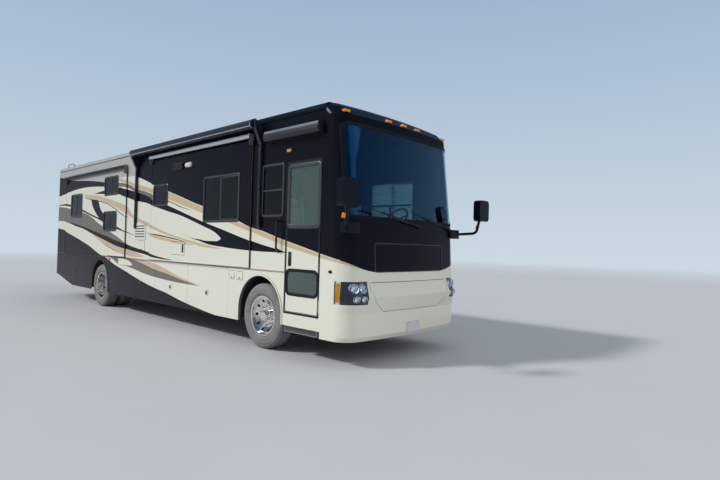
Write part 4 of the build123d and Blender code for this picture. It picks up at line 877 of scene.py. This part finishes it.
# Wall fittings: the fridge's slatted vent with its hatch below, and two fill hatches over the front
# wheel, each a plastic moulding screwed to the wall.
vent, slots, hatches, hatch_seals = Shape(), Shape(), Shape(), Shape()
vent_station = -4.235
slot_rows, slot_pitch, lowest_slot = 5, 0.055, 1.655
box_steps = bedded(0.006, 0.004, 0.009)
door_steps = bedded(0.002, 0.003, 0.004)
slot_steps = [(0, 0.004), (0, 0.0098)]
louvre_steps = [(0, 0.006), (0.001, 0.016), (0.003, 0.018)]
seal_steps = [(0, -0.004), (0.001, 0.0015)]
lock_steps = [(0, 0.003), (0.001, 0.008)]
kerb_pads([(vent, vent_station, 1.765, 0.55, 0.345, 0.02, box_steps)])
for row in range(slot_rows):
    z = lowest_slot + slot_pitch * row
    kerb_pads([(slots, vent_station, z, 0.44, 0.02, 0.008, slot_steps),
               (vent, vent_station, z + 0.014, 0.46, 0.012, 0.004, louvre_steps)])
wall_hatch_rows = ((-4.15, 1.46, 0.3, 0.22), (-0.56, 1.065, 0.16, 0.13), (-0.78, 1.065, 0.13, 0.13))
for spot, z, wide, tall in wall_hatch_rows:
    kerb_pads([(hatches, spot, z, wide, tall, 0.02, door_steps),
               (hatch_seals, spot, z, wide + 0.012, tall + 0.012, 0.024, seal_steps),
               (slots, spot, z - tall * 0.3, 0.026, 0.022, 0.008, lock_steps)])
vent.place("fridge_vent", body, "body_paint")
slots.place("vent_slots", slat_black, "black_plastic")
hatches.place("wall_hatches", body, "body_paint")
hatch_seals.place("wall_hatch_seals", rubber, "black_plastic")

# Living-room fittings: a black exhaust box beside a white porch lamp up high, and a service hatch
# with a black slam latch in the lower corner. They ride on the room.
opal = Finish("opal_lens", ((0.8, 0.8, 0.76), 20, 0.05), roughness=0.25, transmission_weight=0.25)
room_hatch, room_black, porch_lamp = Shape(), Shape(), Shape()
rib_steps = [(0, 0.028), (0.001, 0.036)]
lamp_steps = [(0, 0.006), (0.001, 0.018), (0.006, 0.03), (0.016, 0.038), (0.03, 0.041)]
slam_steps = [(0, 0.002), (0, 0.008), (0.003, 0.011)]
kerb_pads([(room_black, -2.62, 2.965, 0.36, 0.135, 0.02, bedded(0.022, 0.012, 0.03)),
           (room_black, -2.62, 2.93, 0.3, 0.01, 0.004, rib_steps),
           (room_black, -2.62, 2.965, 0.3, 0.01, 0.004, rib_steps),
           (room_black, -2.62, 3.0, 0.3, 0.01, 0.004, rib_steps),
           (room_black, -2.22, 2.965, 0.25, 0.115, 0.05, box_steps),
           (porch_lamp, -2.22, 2.965, 0.22, 0.088, 0.043, lamp_steps),
           (room_hatch, -2.55, 1.452, 0.5, 0.24, 0.02, door_steps),
           (room_black, -2.36, 1.452, 0.05, 0.15, 0.01, slam_steps),
           (room_black, -2.55, 1.452, 0.512, 0.252, 0.024, seal_steps)], room_face)
room_hatch.place("room_hatch", body, "body_paint", "right_living_room")
room_black.place("room_black_fittings", slat_black, "black_plastic", "right_living_room")
porch_lamp.place("porch_lamp_lens", opal, "lamp_clear", "right_living_room")

# Entry door: a flush panel with a black bulb gasket round its edge, a bright frame round the tall
# pane, a dark one round the low pane, and a black paddle latch with its lock above.
# The pale green of the door glass is partly its tint and partly a painted reflection of grass.
door_glass = Finish("door_glass", gloss=(0.015, 0.03, 5, 4), base_color=(0.6, 0.8, 0.73),
                    transmission_weight=0.94, ior=1.45)
dress(door_glass, "entry_door_glass")
door_black, door_bright = Shape(), Shape()
door_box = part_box("entry_door")
low_pane, tall_pane = sorted(islands("entry_door_glass"), key=lambda pair: pair[0].z)
door_rings = (
    (door_black, door_box, 0.012,
     [(-0.001, -0.003), (-0.001, 0.002), (-0.004, 0.0045), (-0.02, 0.0045), (-0.023, -0.001)]),
    (door_bright, door_box, 0.012, [(-0.026, -0.001), (-0.026, 0.0025), (-0.033, 0.0025), (-0.035, -0.001)]),
    (door_bright, tall_pane, 0.04, [(grow * 1.6, out) for grow, out in frame_profile]),
    (door_black, tall_pane, 0.04, [(0.035, -0.001), (0.035, 0.005), (0.043, 0.004), (0.044, -0.001)]),
    (door_black, low_pane, 0.07,
     [(-0.01, -0.01), (-0.01, 0.004), (0.004, 0.01), (0.024, 0.01), (0.032, 0.004), (0.032, -0.003)]))
for shape, (low, high), corner, profile in door_rings:
    side_ring(shape, low, high, corner, -1, half_width, profile)
latch_station = 0.665
kerb_pads([(door_bright, latch_station, 1.375, 0.072, 0.205, 0.014, plate_steps),
           (door_black, latch_station, 1.35, 0.044, 0.12, 0.012, [(0, 0.002), (0, 0.007), (0.005, 0.009)]),
           (door_black, latch_station, 1.45, 0.022, 0.022, 0.01, [(0, 0.002), (0.002, 0.01)])])
door_black.place("entry_door_gaskets", rubber, "black_plastic", "entry_door")
door_bright.place("entry_door_frames", frame_metal, "bright_rail", "entry_door")

# Entry step and stepwell: folded steel treads with a black rubber wearing surface. The outside step
# slides out from under the door on its runners.
step_steel = Finish("step_steel", ((0.26, 0.265, 0.28), 30, 0.2), (0.45, 0.2, 40), metallic=0.6)
mat_rubber = Finish("mat_rubber", ((0.045, 0.043, 0.041), 14, 0.25), roughness=0.75)
dress(step_steel, "entry_step")
dress(mat_rubber, "stepwell")
step_low, step_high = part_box("entry_step")
grip_count, grip_pitch, grip_wide = 9, 0.03, 0.012
grip_proud, grip_soft = 0.002, 0.001
tread_margin, edge_margin = 0.03, 0.015
edge_back, edge_proud, edge_half = 0.002, 0.003, 0.007
grips = Shape()
for i in range(grip_count):
    y = step_low.y + 0.025 + grip_pitch * i
    grips.bar((step_low.x + tread_margin, y, step_high.z - grip_proud),
              (step_high.x - tread_margin, y + grip_wide, step_high.z + grip_proud), grip_soft)
for share in (0.3, 0.55, 0.8):
    z = step_low.z + (step_high.z - step_low.z) * share
    grips.bar((step_low.x + edge_margin, step_low.y - edge_proud, z - edge_half),
              (step_high.x - edge_margin, step_low.y + edge_back, z + edge_half), grip_soft)
grips.place("entry_step_grips", mat_rubber, "black_plastic", "entry_step")

# Rails: a black-coated grab rail on two flanges beside the door, and a bright ladder at the rear.
# Both are bent from round tube.
rail_metal = Finish("rail_metal")
coated = rail_metal.parts(rail_metal.place())[0].above(at(0))
bare_rail = rail_metal.mottle((0.62, 0.63, 0.65), 18, 0.08)
rail_metal.paint("Base Color", rail_metal.blend(coated, bare_rail, (0.012, 0.012, 0.014)))
rail_metal.paint("Metallic", 1 - coated)
rail_metal.paint("Roughness", 0.12 + 0.14 * rail_metal.noise(50) + 0.12 * coated)
dress(rail_metal, "handrails")
flange_shape = [(0.03, -0.002), (0.03, 0.004), (0.024, 0.008), (0.001, 0.008)]
flanges = Shape()
for z in (1.48, 1.93):
    flanges.spin((at(0.4), -half_width, z), (0, -1, 0), flange_shape, 24)
flanges.place("grab_rail_flanges", rubber, "black_plastic")

# Awnings: a black vinyl roll with a bright lead rail between two folding arms over the long wall, and
# a smaller roll in a cassette over the door. Arms and cassette are powder-coated aluminium.
awning_coat = Finish("awning_coat")
awning_x, _, awning_z = awning_coat.parts(awning_coat.place())
# The top of the door cassette is painted light grey: partly the light-grey roll, partly a painted highlight
# along its top.
cassette_roll_and_highlight = awning_x.within(at(0.112), at(1.288)) * awning_z.above(3.195, 0.03)
fold_lines = awning_z.wave(420) * 0.5 + 0.5
awning_skin = awning_coat.mottle((0.01, 0.012, 0.019), 16, 0.2)
awning_coat.paint("Base Color", awning_coat.blend(cassette_roll_and_highlight, awning_skin, (0.13, 0.15, 0.19)))
awning_coat.paint("Roughness", 0.28 + 0.12 * awning_coat.noise(40) + 0.1 * cassette_roll_and_highlight)
awning_coat.bump(fold_lines * awning_z.above(3.3) + 0.2 * awning_coat.noise(300), 0.15, 0.0006)
dress(awning_coat, "awnings")
rails, lead = Shape(), Shape()
arm_face = half_width + 0.042
pivot_shape = [(0.02, 0), (0.02, 0.012), (0.012, 0.016), (0.001, 0.016)]
end_cap = [(0.06, -0.004), (0.0705, -0.004), (0.0705, 0.014), (0.06, 0.014)]
for arm in (at(-4.431), at(-0.069)):
    rails.bar((arm - 0.017, -arm_face - 0.006, 1.86), (arm + 0.017, -arm_face + 0.002, 3.02))
    rails.bar((arm - 0.034, -arm_face - 0.004, 1.83), (arm + 0.034, -half_width + 0.002, 1.9))
    rails.spin((arm, -arm_face, 2.42), (0, -1, 0), pivot_shape, 20)
rails.place("awning_arm_rails", awning_coat, "black_plastic")
lead.tube([(at(-4.39), -1.478, 3.342), (at(-0.11), -1.478, 3.342)], 0.0115)
for roll_end in (at(-4.385), at(-0.125)):
    lead.spin((roll_end, -1.4205, 3.382), (1, 0, 0), end_cap, 32, closed=True)
lead.place("awning_lead_rail", rail_metal, "bright_rail")

# Headlamps: bright reflector bowls in a dark moulded housing, each with its bulb and bezel, behind
# one wrapped clear lens that turns amber at the corner, in front of a white strip bulb.
bowls = ((1.012, 1.035, 0.056), (1.145, 1.035, 0.056), (1.016, 0.895, 0.042), (1.134, 0.895, 0.042))
reflector = Finish("lamp_reflector")
lamp_x, lamp_y, lamp_z = reflector.parts(reflector.place())
in_bowl = lamp_x.within(5.37, 5.444)
for y, z, radius in bowls:
    reach = ((abs(lamp_y) - y) ** 2 + (lamp_z - z) ** 2).root()
    in_bowl = (-reach).above(-radius - 0.003).most(in_bowl)
housing_dark = reflector.mottle((0.016, 0.017, 0.021), 22, 0.2)
reflector.paint("Base Color", reflector.blend(in_bowl, housing_dark, (0.8, 0.81, 0.83)))
reflector.paint("Metallic", in_bowl)
reflector.paint("Roughness", 0.08 + 0.12 * reflector.noise(30) + 0.35 * (1 - in_bowl))
dress(reflector, "headlamps")
lens = Finish("lamp_lens", roughness=0.02, transmission_weight=1.0, ior=1.25)
lens_x, _, lens_z = lens.parts(lens.place())
lens_amber = lens_x.within(5.374, 5.44) * lens_z.within(0.85, 1.095)
lens.paint("Base Color", lens.blend(lens_amber, (0.94, 0.96, 0.98), (0.99, 0.6, 0.12)))
lens.bump(lens_z.wave(700) * lens_amber, 0.3, 0.0006)
dress(lens, "headlamp_lenses")
bulb_glass = Finish("bulb_glass", ((0.75, 0.74, 0.7), 60, 0.1), roughness=0.15)
bulb_shape = [(0.001, 0.02), (0.009, 0.017), (0.014, 0.008), (0.014, -0.014), (0.001, -0.016)]
bulb_setback = Vector((0.04, 0, 0))
bezels, bulbs, turn_strips = Shape(), Shape(), Shape()
for side in (-1, 1):
    for y, z, radius in bowls:
        front = on_nose(side * y, z, -0.012)
        inner_edge, outer_edge = radius - 0.001, radius + 0.004
        bezel = [(inner_edge, -0.012), (outer_edge, -0.012), (outer_edge, -0.002), (inner_edge, -0.004)]
        bezels.spin(front, (1, 0, 0), bezel, 32, closed=True)
        bulbs.spin(front - bulb_setback, (1, 0, 0), bulb_shape, 20)
    turn_strips.bar((5.386, side * 1.25 - 0.006, 0.862), (5.44, side * 1.25 + 0.006, 1.085), 0.003)
bezels.place("headlamp_bezels", frame_metal, "lamp_housing")
turn_strips.place("headlamp_turn_strips", bulb_glass, "lamp_amber")
bulbs.place("headlamp_bulbs", bulb_glass, "lamp_clear")

# Small lamps: amber ribbed lenses in a row over the screen and on the sides, a small courtesy lamp on
# the cap's corner, and red clusters at the rear with clear and amber bands, each on a black base.
amber = Finish("amber_lens", ((0.85, 0.24, 0.012), 40, 0.2), roughness=0.12)
amber.bump(amber.parts(amber.place())[2].wave(1100), 0.25, 0.0005)
dress(amber, "marker_lamps")
clear_low, clear_high, amber_high = 1.02, 1.14, 1.25
rear_lens = Finish("rear_lens", roughness=0.12)
rear_z = rear_lens.parts(rear_lens.place())[2]
lens_red = rear_lens.mottle((0.42, 0.01, 0.012), 30, 0.2)
lens_banded = rear_lens.blend(rear_z.within(clear_low, clear_high), lens_red, (0.7, 0.71, 0.72))
amber_band = rear_z.within(clear_high, amber_high)
rear_lens.paint("Base Color", rear_lens.blend(amber_band, lens_banded, (0.8, 0.22, 0.012)))
rear_lens.bump(rear_z.wave(900), 0.3, 0.0006)
dress(rear_lens, "tail_lamps")


def end_pad(shape, face_x, way, y, *form):
    """A pad on a face that looks ahead, where way is 1, or aft, where it is -1."""
    return pad(shape, lambda a, b, out: (face_x + way * out, a, b), y, *form)


bases, side_bases = Shape(), Shape()
rear_face = min(corner.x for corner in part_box("rear_cap"))
cluster_y = 1.01
divider_steps = [(0, 0.01), (0.001, 0.0255)]
side_pad(side_bases, -1, at(0.6), 2.92, 0.15, 0.082, 0.036, bedded(0.006, 0.005, 0.01))
for side in (-1, 1):
    side_pad(side_bases, side, at(-5.8), 1.13, 0.1, 0.05, 0.02, bedded(0.008, 0.003, 0.01))
    side_pad(side_bases, side, at(1.5), 1.238, 0.058, 0.036, 0.014, bedded(0.01, 0.006, 0.016))
    end_pad(bases, rear_face, -1, side * cluster_y, 1.18, 0.176, 0.546, 0.03, bedded(0.008, 0.006, 0.012))
    for z in (clear_low, clear_high, amber_high):
        end_pad(bases, rear_face, -1, side * cluster_y, z, 0.15, 0.008, 0.003, divider_steps)
for y in (-1.0, -0.2, 0.0, 0.2, 1.0):
    end_pad(bases, rear_face, -1, y, 3.23, 0.125, 0.05, 0.02, bedded(0.005, 0.003, 0.007))
side_bases.place("side_lamp_bases", rubber, "black_plastic")
bases.place("tail_lamp_bases", rubber, "black_plastic")

# Mirrors: gloss navy-black heads on bent arms, each with a flat glass over a wide-angle one, bedded
# in a black carrier, and an amber repeater on the stalk below.
shell = Finish("mirror_shell", ((0.004, 0.0055, 0.012), 8, 0.2), (0.12, 0.08, 35), (240, 0.04, 0.0004),
               coat_roughness=0.04, specular_ior_level=0.1)
shell.paint("Coat Weight", 0.1 + 0.2 * shell.noise(8))
dress(shell, "mirrors")
silvered = Finish("mirror_glass", ((0.82, 0.84, 0.86), 3, 0.03), (0.02, 0.03, 6), metallic=1.0)
mirror_x, mirror_y, mirror_z = 5.781, 1.571, 2.213
flat_steps = [(0, 0.004), (0.001, 0.008), (0.004, 0.009)]
wide_steps = [(0, 0.004), (0.001, 0.007), (0.012, 0.01), (0.03, 0.012)]
repeater_shape = [(0.0225, -0.03), (0.027, -0.026), (0.027, 0.026), (0.0225, 0.03)]
carriers, panes, repeaters = Shape(), Shape(), Shape()
for side in (-1, 1):
    y = side * mirror_y
    end_pad(carriers, mirror_x, -1, y, mirror_z, 0.262, 0.312, 0.05, bedded(0.004, 0.006, 0.006))
    end_pad(panes, mirror_x, -1, y, mirror_z + 0.045, 0.236, 0.19, 0.03, flat_steps)
    end_pad(panes, mirror_x, -1, y, mirror_z - 0.103, 0.236, 0.08, 0.03, wide_steps)
    repeaters.spin((at(2.002), y - side * 0.004, 1.948), (0.25, side * 0.1, 1), repeater_shape, 24)
carriers.place("mirror_carriers", rubber, "black_plastic")
panes.place("mirror_panes", silvered, "bright_rail")
repeaters.place("mirror_repeaters", amber, "lamp_amber")

# Wipers: two black-painted arms with rubber blades, pivoted under the screen. Both parts take one
# matt black finish.
dress(slat_black, "wipers")

# Front plate: a blank pressed plate with a raised rim, held by two screws in the middle of the
# bumper.
plate_white = Finish("plate_enamel", ((0.55, 0.56, 0.57), 12, 0.06), roughness=0.35)
plate_height = 0.46
plate_x = on_nose(0, plate_height).x
screw_shape = [(0.007, -0.002), (0.007, 0.003), (0.004, 0.005), (0.001, 0.005)]
plate, screws = Shape(), Shape()
end_pad(plate, plate_x, 1, 0, plate_height, 0.305, 0.152, 0.012,
        [*bedded(0.003, 0.004, 0.005), (0.007, 0.003)])
for y in (-0.09, 0.09):
    screws.spin((plate_x + 0.003, y, 0.518), (1, 0, 0), screw_shape, 16)
plate.place("blank_plate", plate_white, "roof_white")
screws.place("blank_plate_screws", rail_metal, "bright_rail")

# Wheels: polished metal discs, each with a ring of capped nuts and a hub cover pressed on. Places are
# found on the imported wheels, so that nuts and covers sit on the discs.
chrome = Finish("wheel_chrome", ((0.84, 0.8, 0.74), 9, 0.07), (0.05, 0.1, 14, 4), metallic=1.0)
wheel_z = sum(corner.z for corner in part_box("front_right_rim")) / 2
wheel_plurals = {"front_right": "", "front_left": "", "rear_right": "s", "rear_left": "s"}
nut_ring, nut_count = 0.143, 10
nut_shape = [(0.021, -0.003), (0.021, 0.004), (0.0155, 0.006), (0.0155, 0.03), (0.012, 0.038),
             (0.001, 0.04)]
cap_shape = [(0.074, -0.02), (0.074, -0.006), (0.071, 0.001), (0.06, 0.004), (0.03, 0.005),
             (0.001, 0.005)]
for corner, plural in wheel_plurals.items():
    rim, rides = f"{corner}_rim{plural}", f"{corner}_wheel{plural}"
    dress(chrome, rim)
    side = -1 if "right" in corner else 1
    disc, inward = skin_of(rim), Vector((0, -side, 0))
    middle_x = sum(point.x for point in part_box(rim)) / 2
    nuts, cover = Shape(), Shape()
    for i in range(nut_count):
        angle = 2 * pi * (i + 0.5) / nut_count
        spot = Vector((middle_x + nut_ring * cos(angle), side * 2, wheel_z + nut_ring * sin(angle)))
        nuts.spin(disc.ray_cast(spot, inward)[0], (0, side, 0), nut_shape, 12)
    hub = disc.ray_cast(Vector((middle_x + 0.02, side * 2, wheel_z)), inward)[0]
    cover.spin((middle_x, hub.y, wheel_z), (0, side, 0), cap_shape, 40)
    nuts.place(f"{corner}_wheel_nuts", chrome, "wheel_chrome", rides)
    cover.place(f"{corner}_hub_cover", chrome, "wheel_chrome", rides)

# Tyres: dusty black rubber with a wide tread of ribs between four grooves, notched shoulders and
# raised rings on the side wall.
tyre_rubber = Finish("tyre_rubber", gloss=(0.75, 0.15, 30), grain=(200, 0.2, 0.0008))
tyre_dust = (tyre_rubber.noise(5, 4) * 0.7 + 0.3 * tyre_rubber.noise(90)).clamped()
tyre_rubber.paint("Base Color", tyre_rubber.blend(tyre_dust, (0.07, 0.068, 0.064), (0.3, 0.29, 0.27)))
half_tyre = [
    (0.297, 0.1), (0.309, 0.106), (0.316, 0.116), (0.33, 0.122), (0.345, 0.127), (0.349, 0.1295),
    (0.356, 0.1295), (0.36, 0.128), (0.396, 0.1285), (0.399, 0.13), (0.408, 0.13), (0.412, 0.128),
    (0.44, 0.1255), (0.455, 0.123), (0.464, 0.119), (0.473, 0.11), (0.484, 0.101), (0.4895, 0.09),
    (0.4895, 0.07), (0.48, 0.068), (0.48, 0.059), (0.49, 0.057), (0.49, 0.025), (0.48, 0.023),
    (0.48, 0.015), (0.49, 0.013)
]
tyre_profile = half_tyre + [(radius, -out) for radius, out in reversed(half_tyre)]
tread_steps, notch_every, notch_depth = 160, 4, 0.008
for corner, plural in wheel_plurals.items():
    tyre = f"{corner}_tyre{plural}"
    casing = Shape()
    for low, high in islands(tyre):
        middle = (low + high) / 2
        loops = []
        for radius, out in tyre_profile:
            shoulder = 0.46 < radius and 0.08 < abs(out) < 0.12
            loop = []
            for i in range(tread_steps):
                reach = radius - (notch_depth if shoulder and i % notch_every == 0 else 0)
                angle = 2 * pi * i / tread_steps
                loop.append((middle.x + reach * cos(angle), middle.y + out, middle.z + reach * sin(angle)))
            loops.append(loop)
        casing.loft(loops, closed=True)
    piece = casing.place(f"{tyre}_treaded", tyre_rubber, "tyre_rubber", f"{corner}_wheel{plural}", crease=40)
    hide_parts(tyre)

# Wheel wells: folded black sheet liners that follow each wheel opening inward and close off the
# underbody behind the wheels, screwed behind the lower panels.
well_black = Finish("well_black", ((0.012, 0.012, 0.012), 5, 0.4), roughness=0.8)
well_top, well_gauge, well_foot = 1.095, 0.003, 0.4
well_outer, well_inner, well_gap = 1.2465, 0.665, 0.001
for number, (centre, radius) in enumerate(((at(-0.03), 0.535), (at(-6.385), 0.53))):
    for side, word in ((-1, "right"), (1, "left")):
        loops = []
        for y in (side * well_outer, side * well_inner):
            lines = []
            for reach in (radius + well_gauge + well_gap, radius + well_gap):
                arch = [(centre + reach * cos(pi * i / 24), y, well_top - radius + reach * sin(pi * i / 24))
                        for i in range(25)]
                lines.append([(centre + reach, y, well_foot), *arch, (centre - reach, y, well_foot)])
            loops.append(lines[0] + lines[1][::-1])
        liner = Shape().loft(loops)
        liner.place(f"{word}_wheel_well_{number}", well_black, "chassis_black", crease=40)

# Radiator: a black finned core in a sheet shroud, bolted close behind the louvred panel on the
# driver's side.
core_rear, core_front, core_low, core_high = at(-8.98), at(-7.32), 0.53, 1.09
core_face, shroud_back, shroud_face = 1.195, 1.125, 1.2465
fin_count, fin_half, fin_margin = 56, 0.004, 0.01
sheet, half_sheet = 0.004, 0.002
core = Shape().bar((core_rear, shroud_back, core_low), (core_front, core_face - 0.012, core_high), 0.003)
for i in range(fin_count):
    x = core_rear + 0.02 + (core_front - core_rear - 0.04) * (i + 0.5) / fin_count
    core.bar((x - fin_half, core_face - 0.014, core_low + fin_margin),
             (x + fin_half, core_face, core_high - fin_margin), 0)
for x in (core_rear - half_sheet, core_front - half_sheet):
    core.bar((x, shroud_back, core_low), (x + sheet, shroud_face, core_high), 0)
for z in (core_low - half_sheet, core_high - half_sheet):
    core.bar((core_rear, shroud_back, z), (core_front, shroud_face, z + sheet), 0)
core.place("radiator_core", slat_black, "chassis_black")

# Running gear and underbody: black chassis paint on the frame and basement, bare castings on the axles
# and engine, and a moulded plastic tank, all under road dust.
under_dust = (0.2, 0.18, 0.15)


def gear_finish(name, colour, metallic, rough):
    """Paint, metal or plastic under the floor, with dust in clouds."""
    finish = Finish(name, gloss=(rough, 0.2, 25), grain=(150, 0.15, 0.0008), metallic=metallic)
    clean = finish.mottle(colour, 12, 0.25)
    finish.paint("Base Color", finish.blend(finish.noise(3, 5) * 0.45, clean, under_dust))
    return finish


chassis_paint = gear_finish("chassis_paint", (0.018, 0.018, 0.019), 0.1, 0.5)
casting = gear_finish("casting", (0.12, 0.12, 0.12), 0.6, 0.5)
tank_plastic = gear_finish("tank_plastic", (0.03, 0.03, 0.03), 0.0, 0.55)
dress(chassis_paint, "chassis_frame", "basement", "generator")
dress(casting, "front_axle", "rear_axle", "left_knuckle", "right_knuckle", "engine")
dress(tank_plastic, "fuel_tank")

# Floor: sheet vinyl in a plank pattern with dark joints and stretched grain, bonded over the
# structural floor.
planks = Finish("floor_planks")
plank_y = planks.parts(planks.place())[1]
joint = (plank_y.wave(42) * 0.5 + 0.5).above(0.985, 0.01)
stretch = {0: planks.place(), 1: (1.5, 18, 6)}
stretched = planks.add("ShaderNodeVectorMath", {"operation": "MULTIPLY"}, stretch)
grain = planks.noise(4, 6, stretched)
wood = planks.blend(grain, (0.2, 0.13, 0.08), (0.36, 0.26, 0.17))
planks.paint("Base Color", planks.blend(joint, wood, (0.06, 0.04, 0.03)))
planks.paint("Roughness", 0.35 + 0.2 * grain)
dress(planks, "floor")

# Dashboard: soft grained vinyl over a moulded body, from wall to wall under the screen. The steering
# wheel in front of the driver is wrapped in dark leather.
vinyl = Finish("dash_vinyl", ((0.12, 0.115, 0.11), 15, 0.15), (0.55, 0.15, 40), (350, 0.25, 0.0006))
dress(vinyl, "dashboard")
wheel_leather = Finish("wheel_leather", ((0.022, 0.021, 0.02), 30, 0.25), (0.45, 0.15, 60),
                       (420, 0.3, 0.0005))
dress(wheel_leather, "steering_wheel")

# Front seats: two leather captain's chairs on steel pedestals. Each has a crowned seat and back with
# sewn channels, a head pad and two arm pads, over firm foam.
leather = Finish("seat_leather", ((0.3, 0.245, 0.18), 11, 0.18), (0.42, 0.15, 30), (330, 0.3, 0.0006))
pad_rows, pad_columns = 28, 48
pad_round, pad_crown = 0.42, 0.5
draw_in = 0.045
channel_depth = 0.007


def swell(value, power):
    """The value pushed out towards 1 or -1, which squares off a round form."""
    return copysign(abs(value) ** power, value)


def cushion(centre, size, lean, channels):
    """A crowned pad: sides drawn in between its corners, and channels sewn across its front."""
    sway = Matrix.Rotation(-lean, 3, "Y")
    loops = []
    for row in range(1, pad_rows):
        up = pi * row / pad_rows - pi / 2
        pz = swell(sin(up), pad_crown)
        waist = 1 - draw_in * (1 - pz * pz)
        loop = []
        for column in range(pad_columns):
            angle = 2 * pi * column / pad_columns
            px = swell(cos(angle), pad_round) * swell(cos(up), pad_round)
            py = swell(sin(angle), pad_round) * swell(cos(up), pad_round)
            spot = Vector((px * size[0] * waist, py * size[1] * waist, pz * size[2])) / 2
            if channels:
                depth = channel_depth * max(0, cos(channels * pi * spot.y / size[1])) ** 14
                spot -= depth * Vector((px, 0, pz))
            loop.append(Vector(centre) + sway @ spot)
        loops.append(loop)
    return Shape().loft(loops)


back_lean = radians(-8.5)
arm_out, arm_size = 0.232, (0.33, 0.055, 0.05)
cab_floor = 1.195
pedestal = [(0.15, 0.001), (0.15, 0.01), (0.062, 0.03), (0.058, 0.3), (0.125, 0.33), (0.125, 0.35),
            (0.001, 0.352)]
for word, x, y in (("driver", at(0.43), 0.6), ("passenger", at(0.15), -0.64)):
    pads = {
        "seat": cushion((x + 0.01, y, 1.62), (0.52, 0.5, 0.125), 0, 4),
        "back": cushion((x - 0.262, y, 1.925), (0.135, 0.49, 0.52), back_lean, 4),
        "head": cushion((x - 0.312, y, 2.256), (0.105, 0.29, 0.145), back_lean, 0),
        "near_arm": cushion((x - 0.06, y - arm_out, 1.845), arm_size, 0, 0),
        "far_arm": cushion((x - 0.06, y + arm_out, 1.845), arm_size, 0, 0),
    }
    for part, cover in pads.items():
        piece = cover.place(f"{word}_{part}_pad", leather, "seat_leather", crease=60)
        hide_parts("front_seats")
    stand = Shape().spin((x, y, cab_floor), (0, 0, 1), pedestal, 40)
    stand.bar((x - 0.2, y - 0.2, 1.538), (x + 0.2, y + 0.2, 1.566), 0.006)
    for arm_y in (y - arm_out, y + arm_out):
        stand.tube([(x - 0.235, arm_y, 1.8), (x - 0.14, arm_y, 1.825)], 0.014, 10)
    stand.place(f"{word}_seat_stand", chassis_paint, "black_plastic")

low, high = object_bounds()
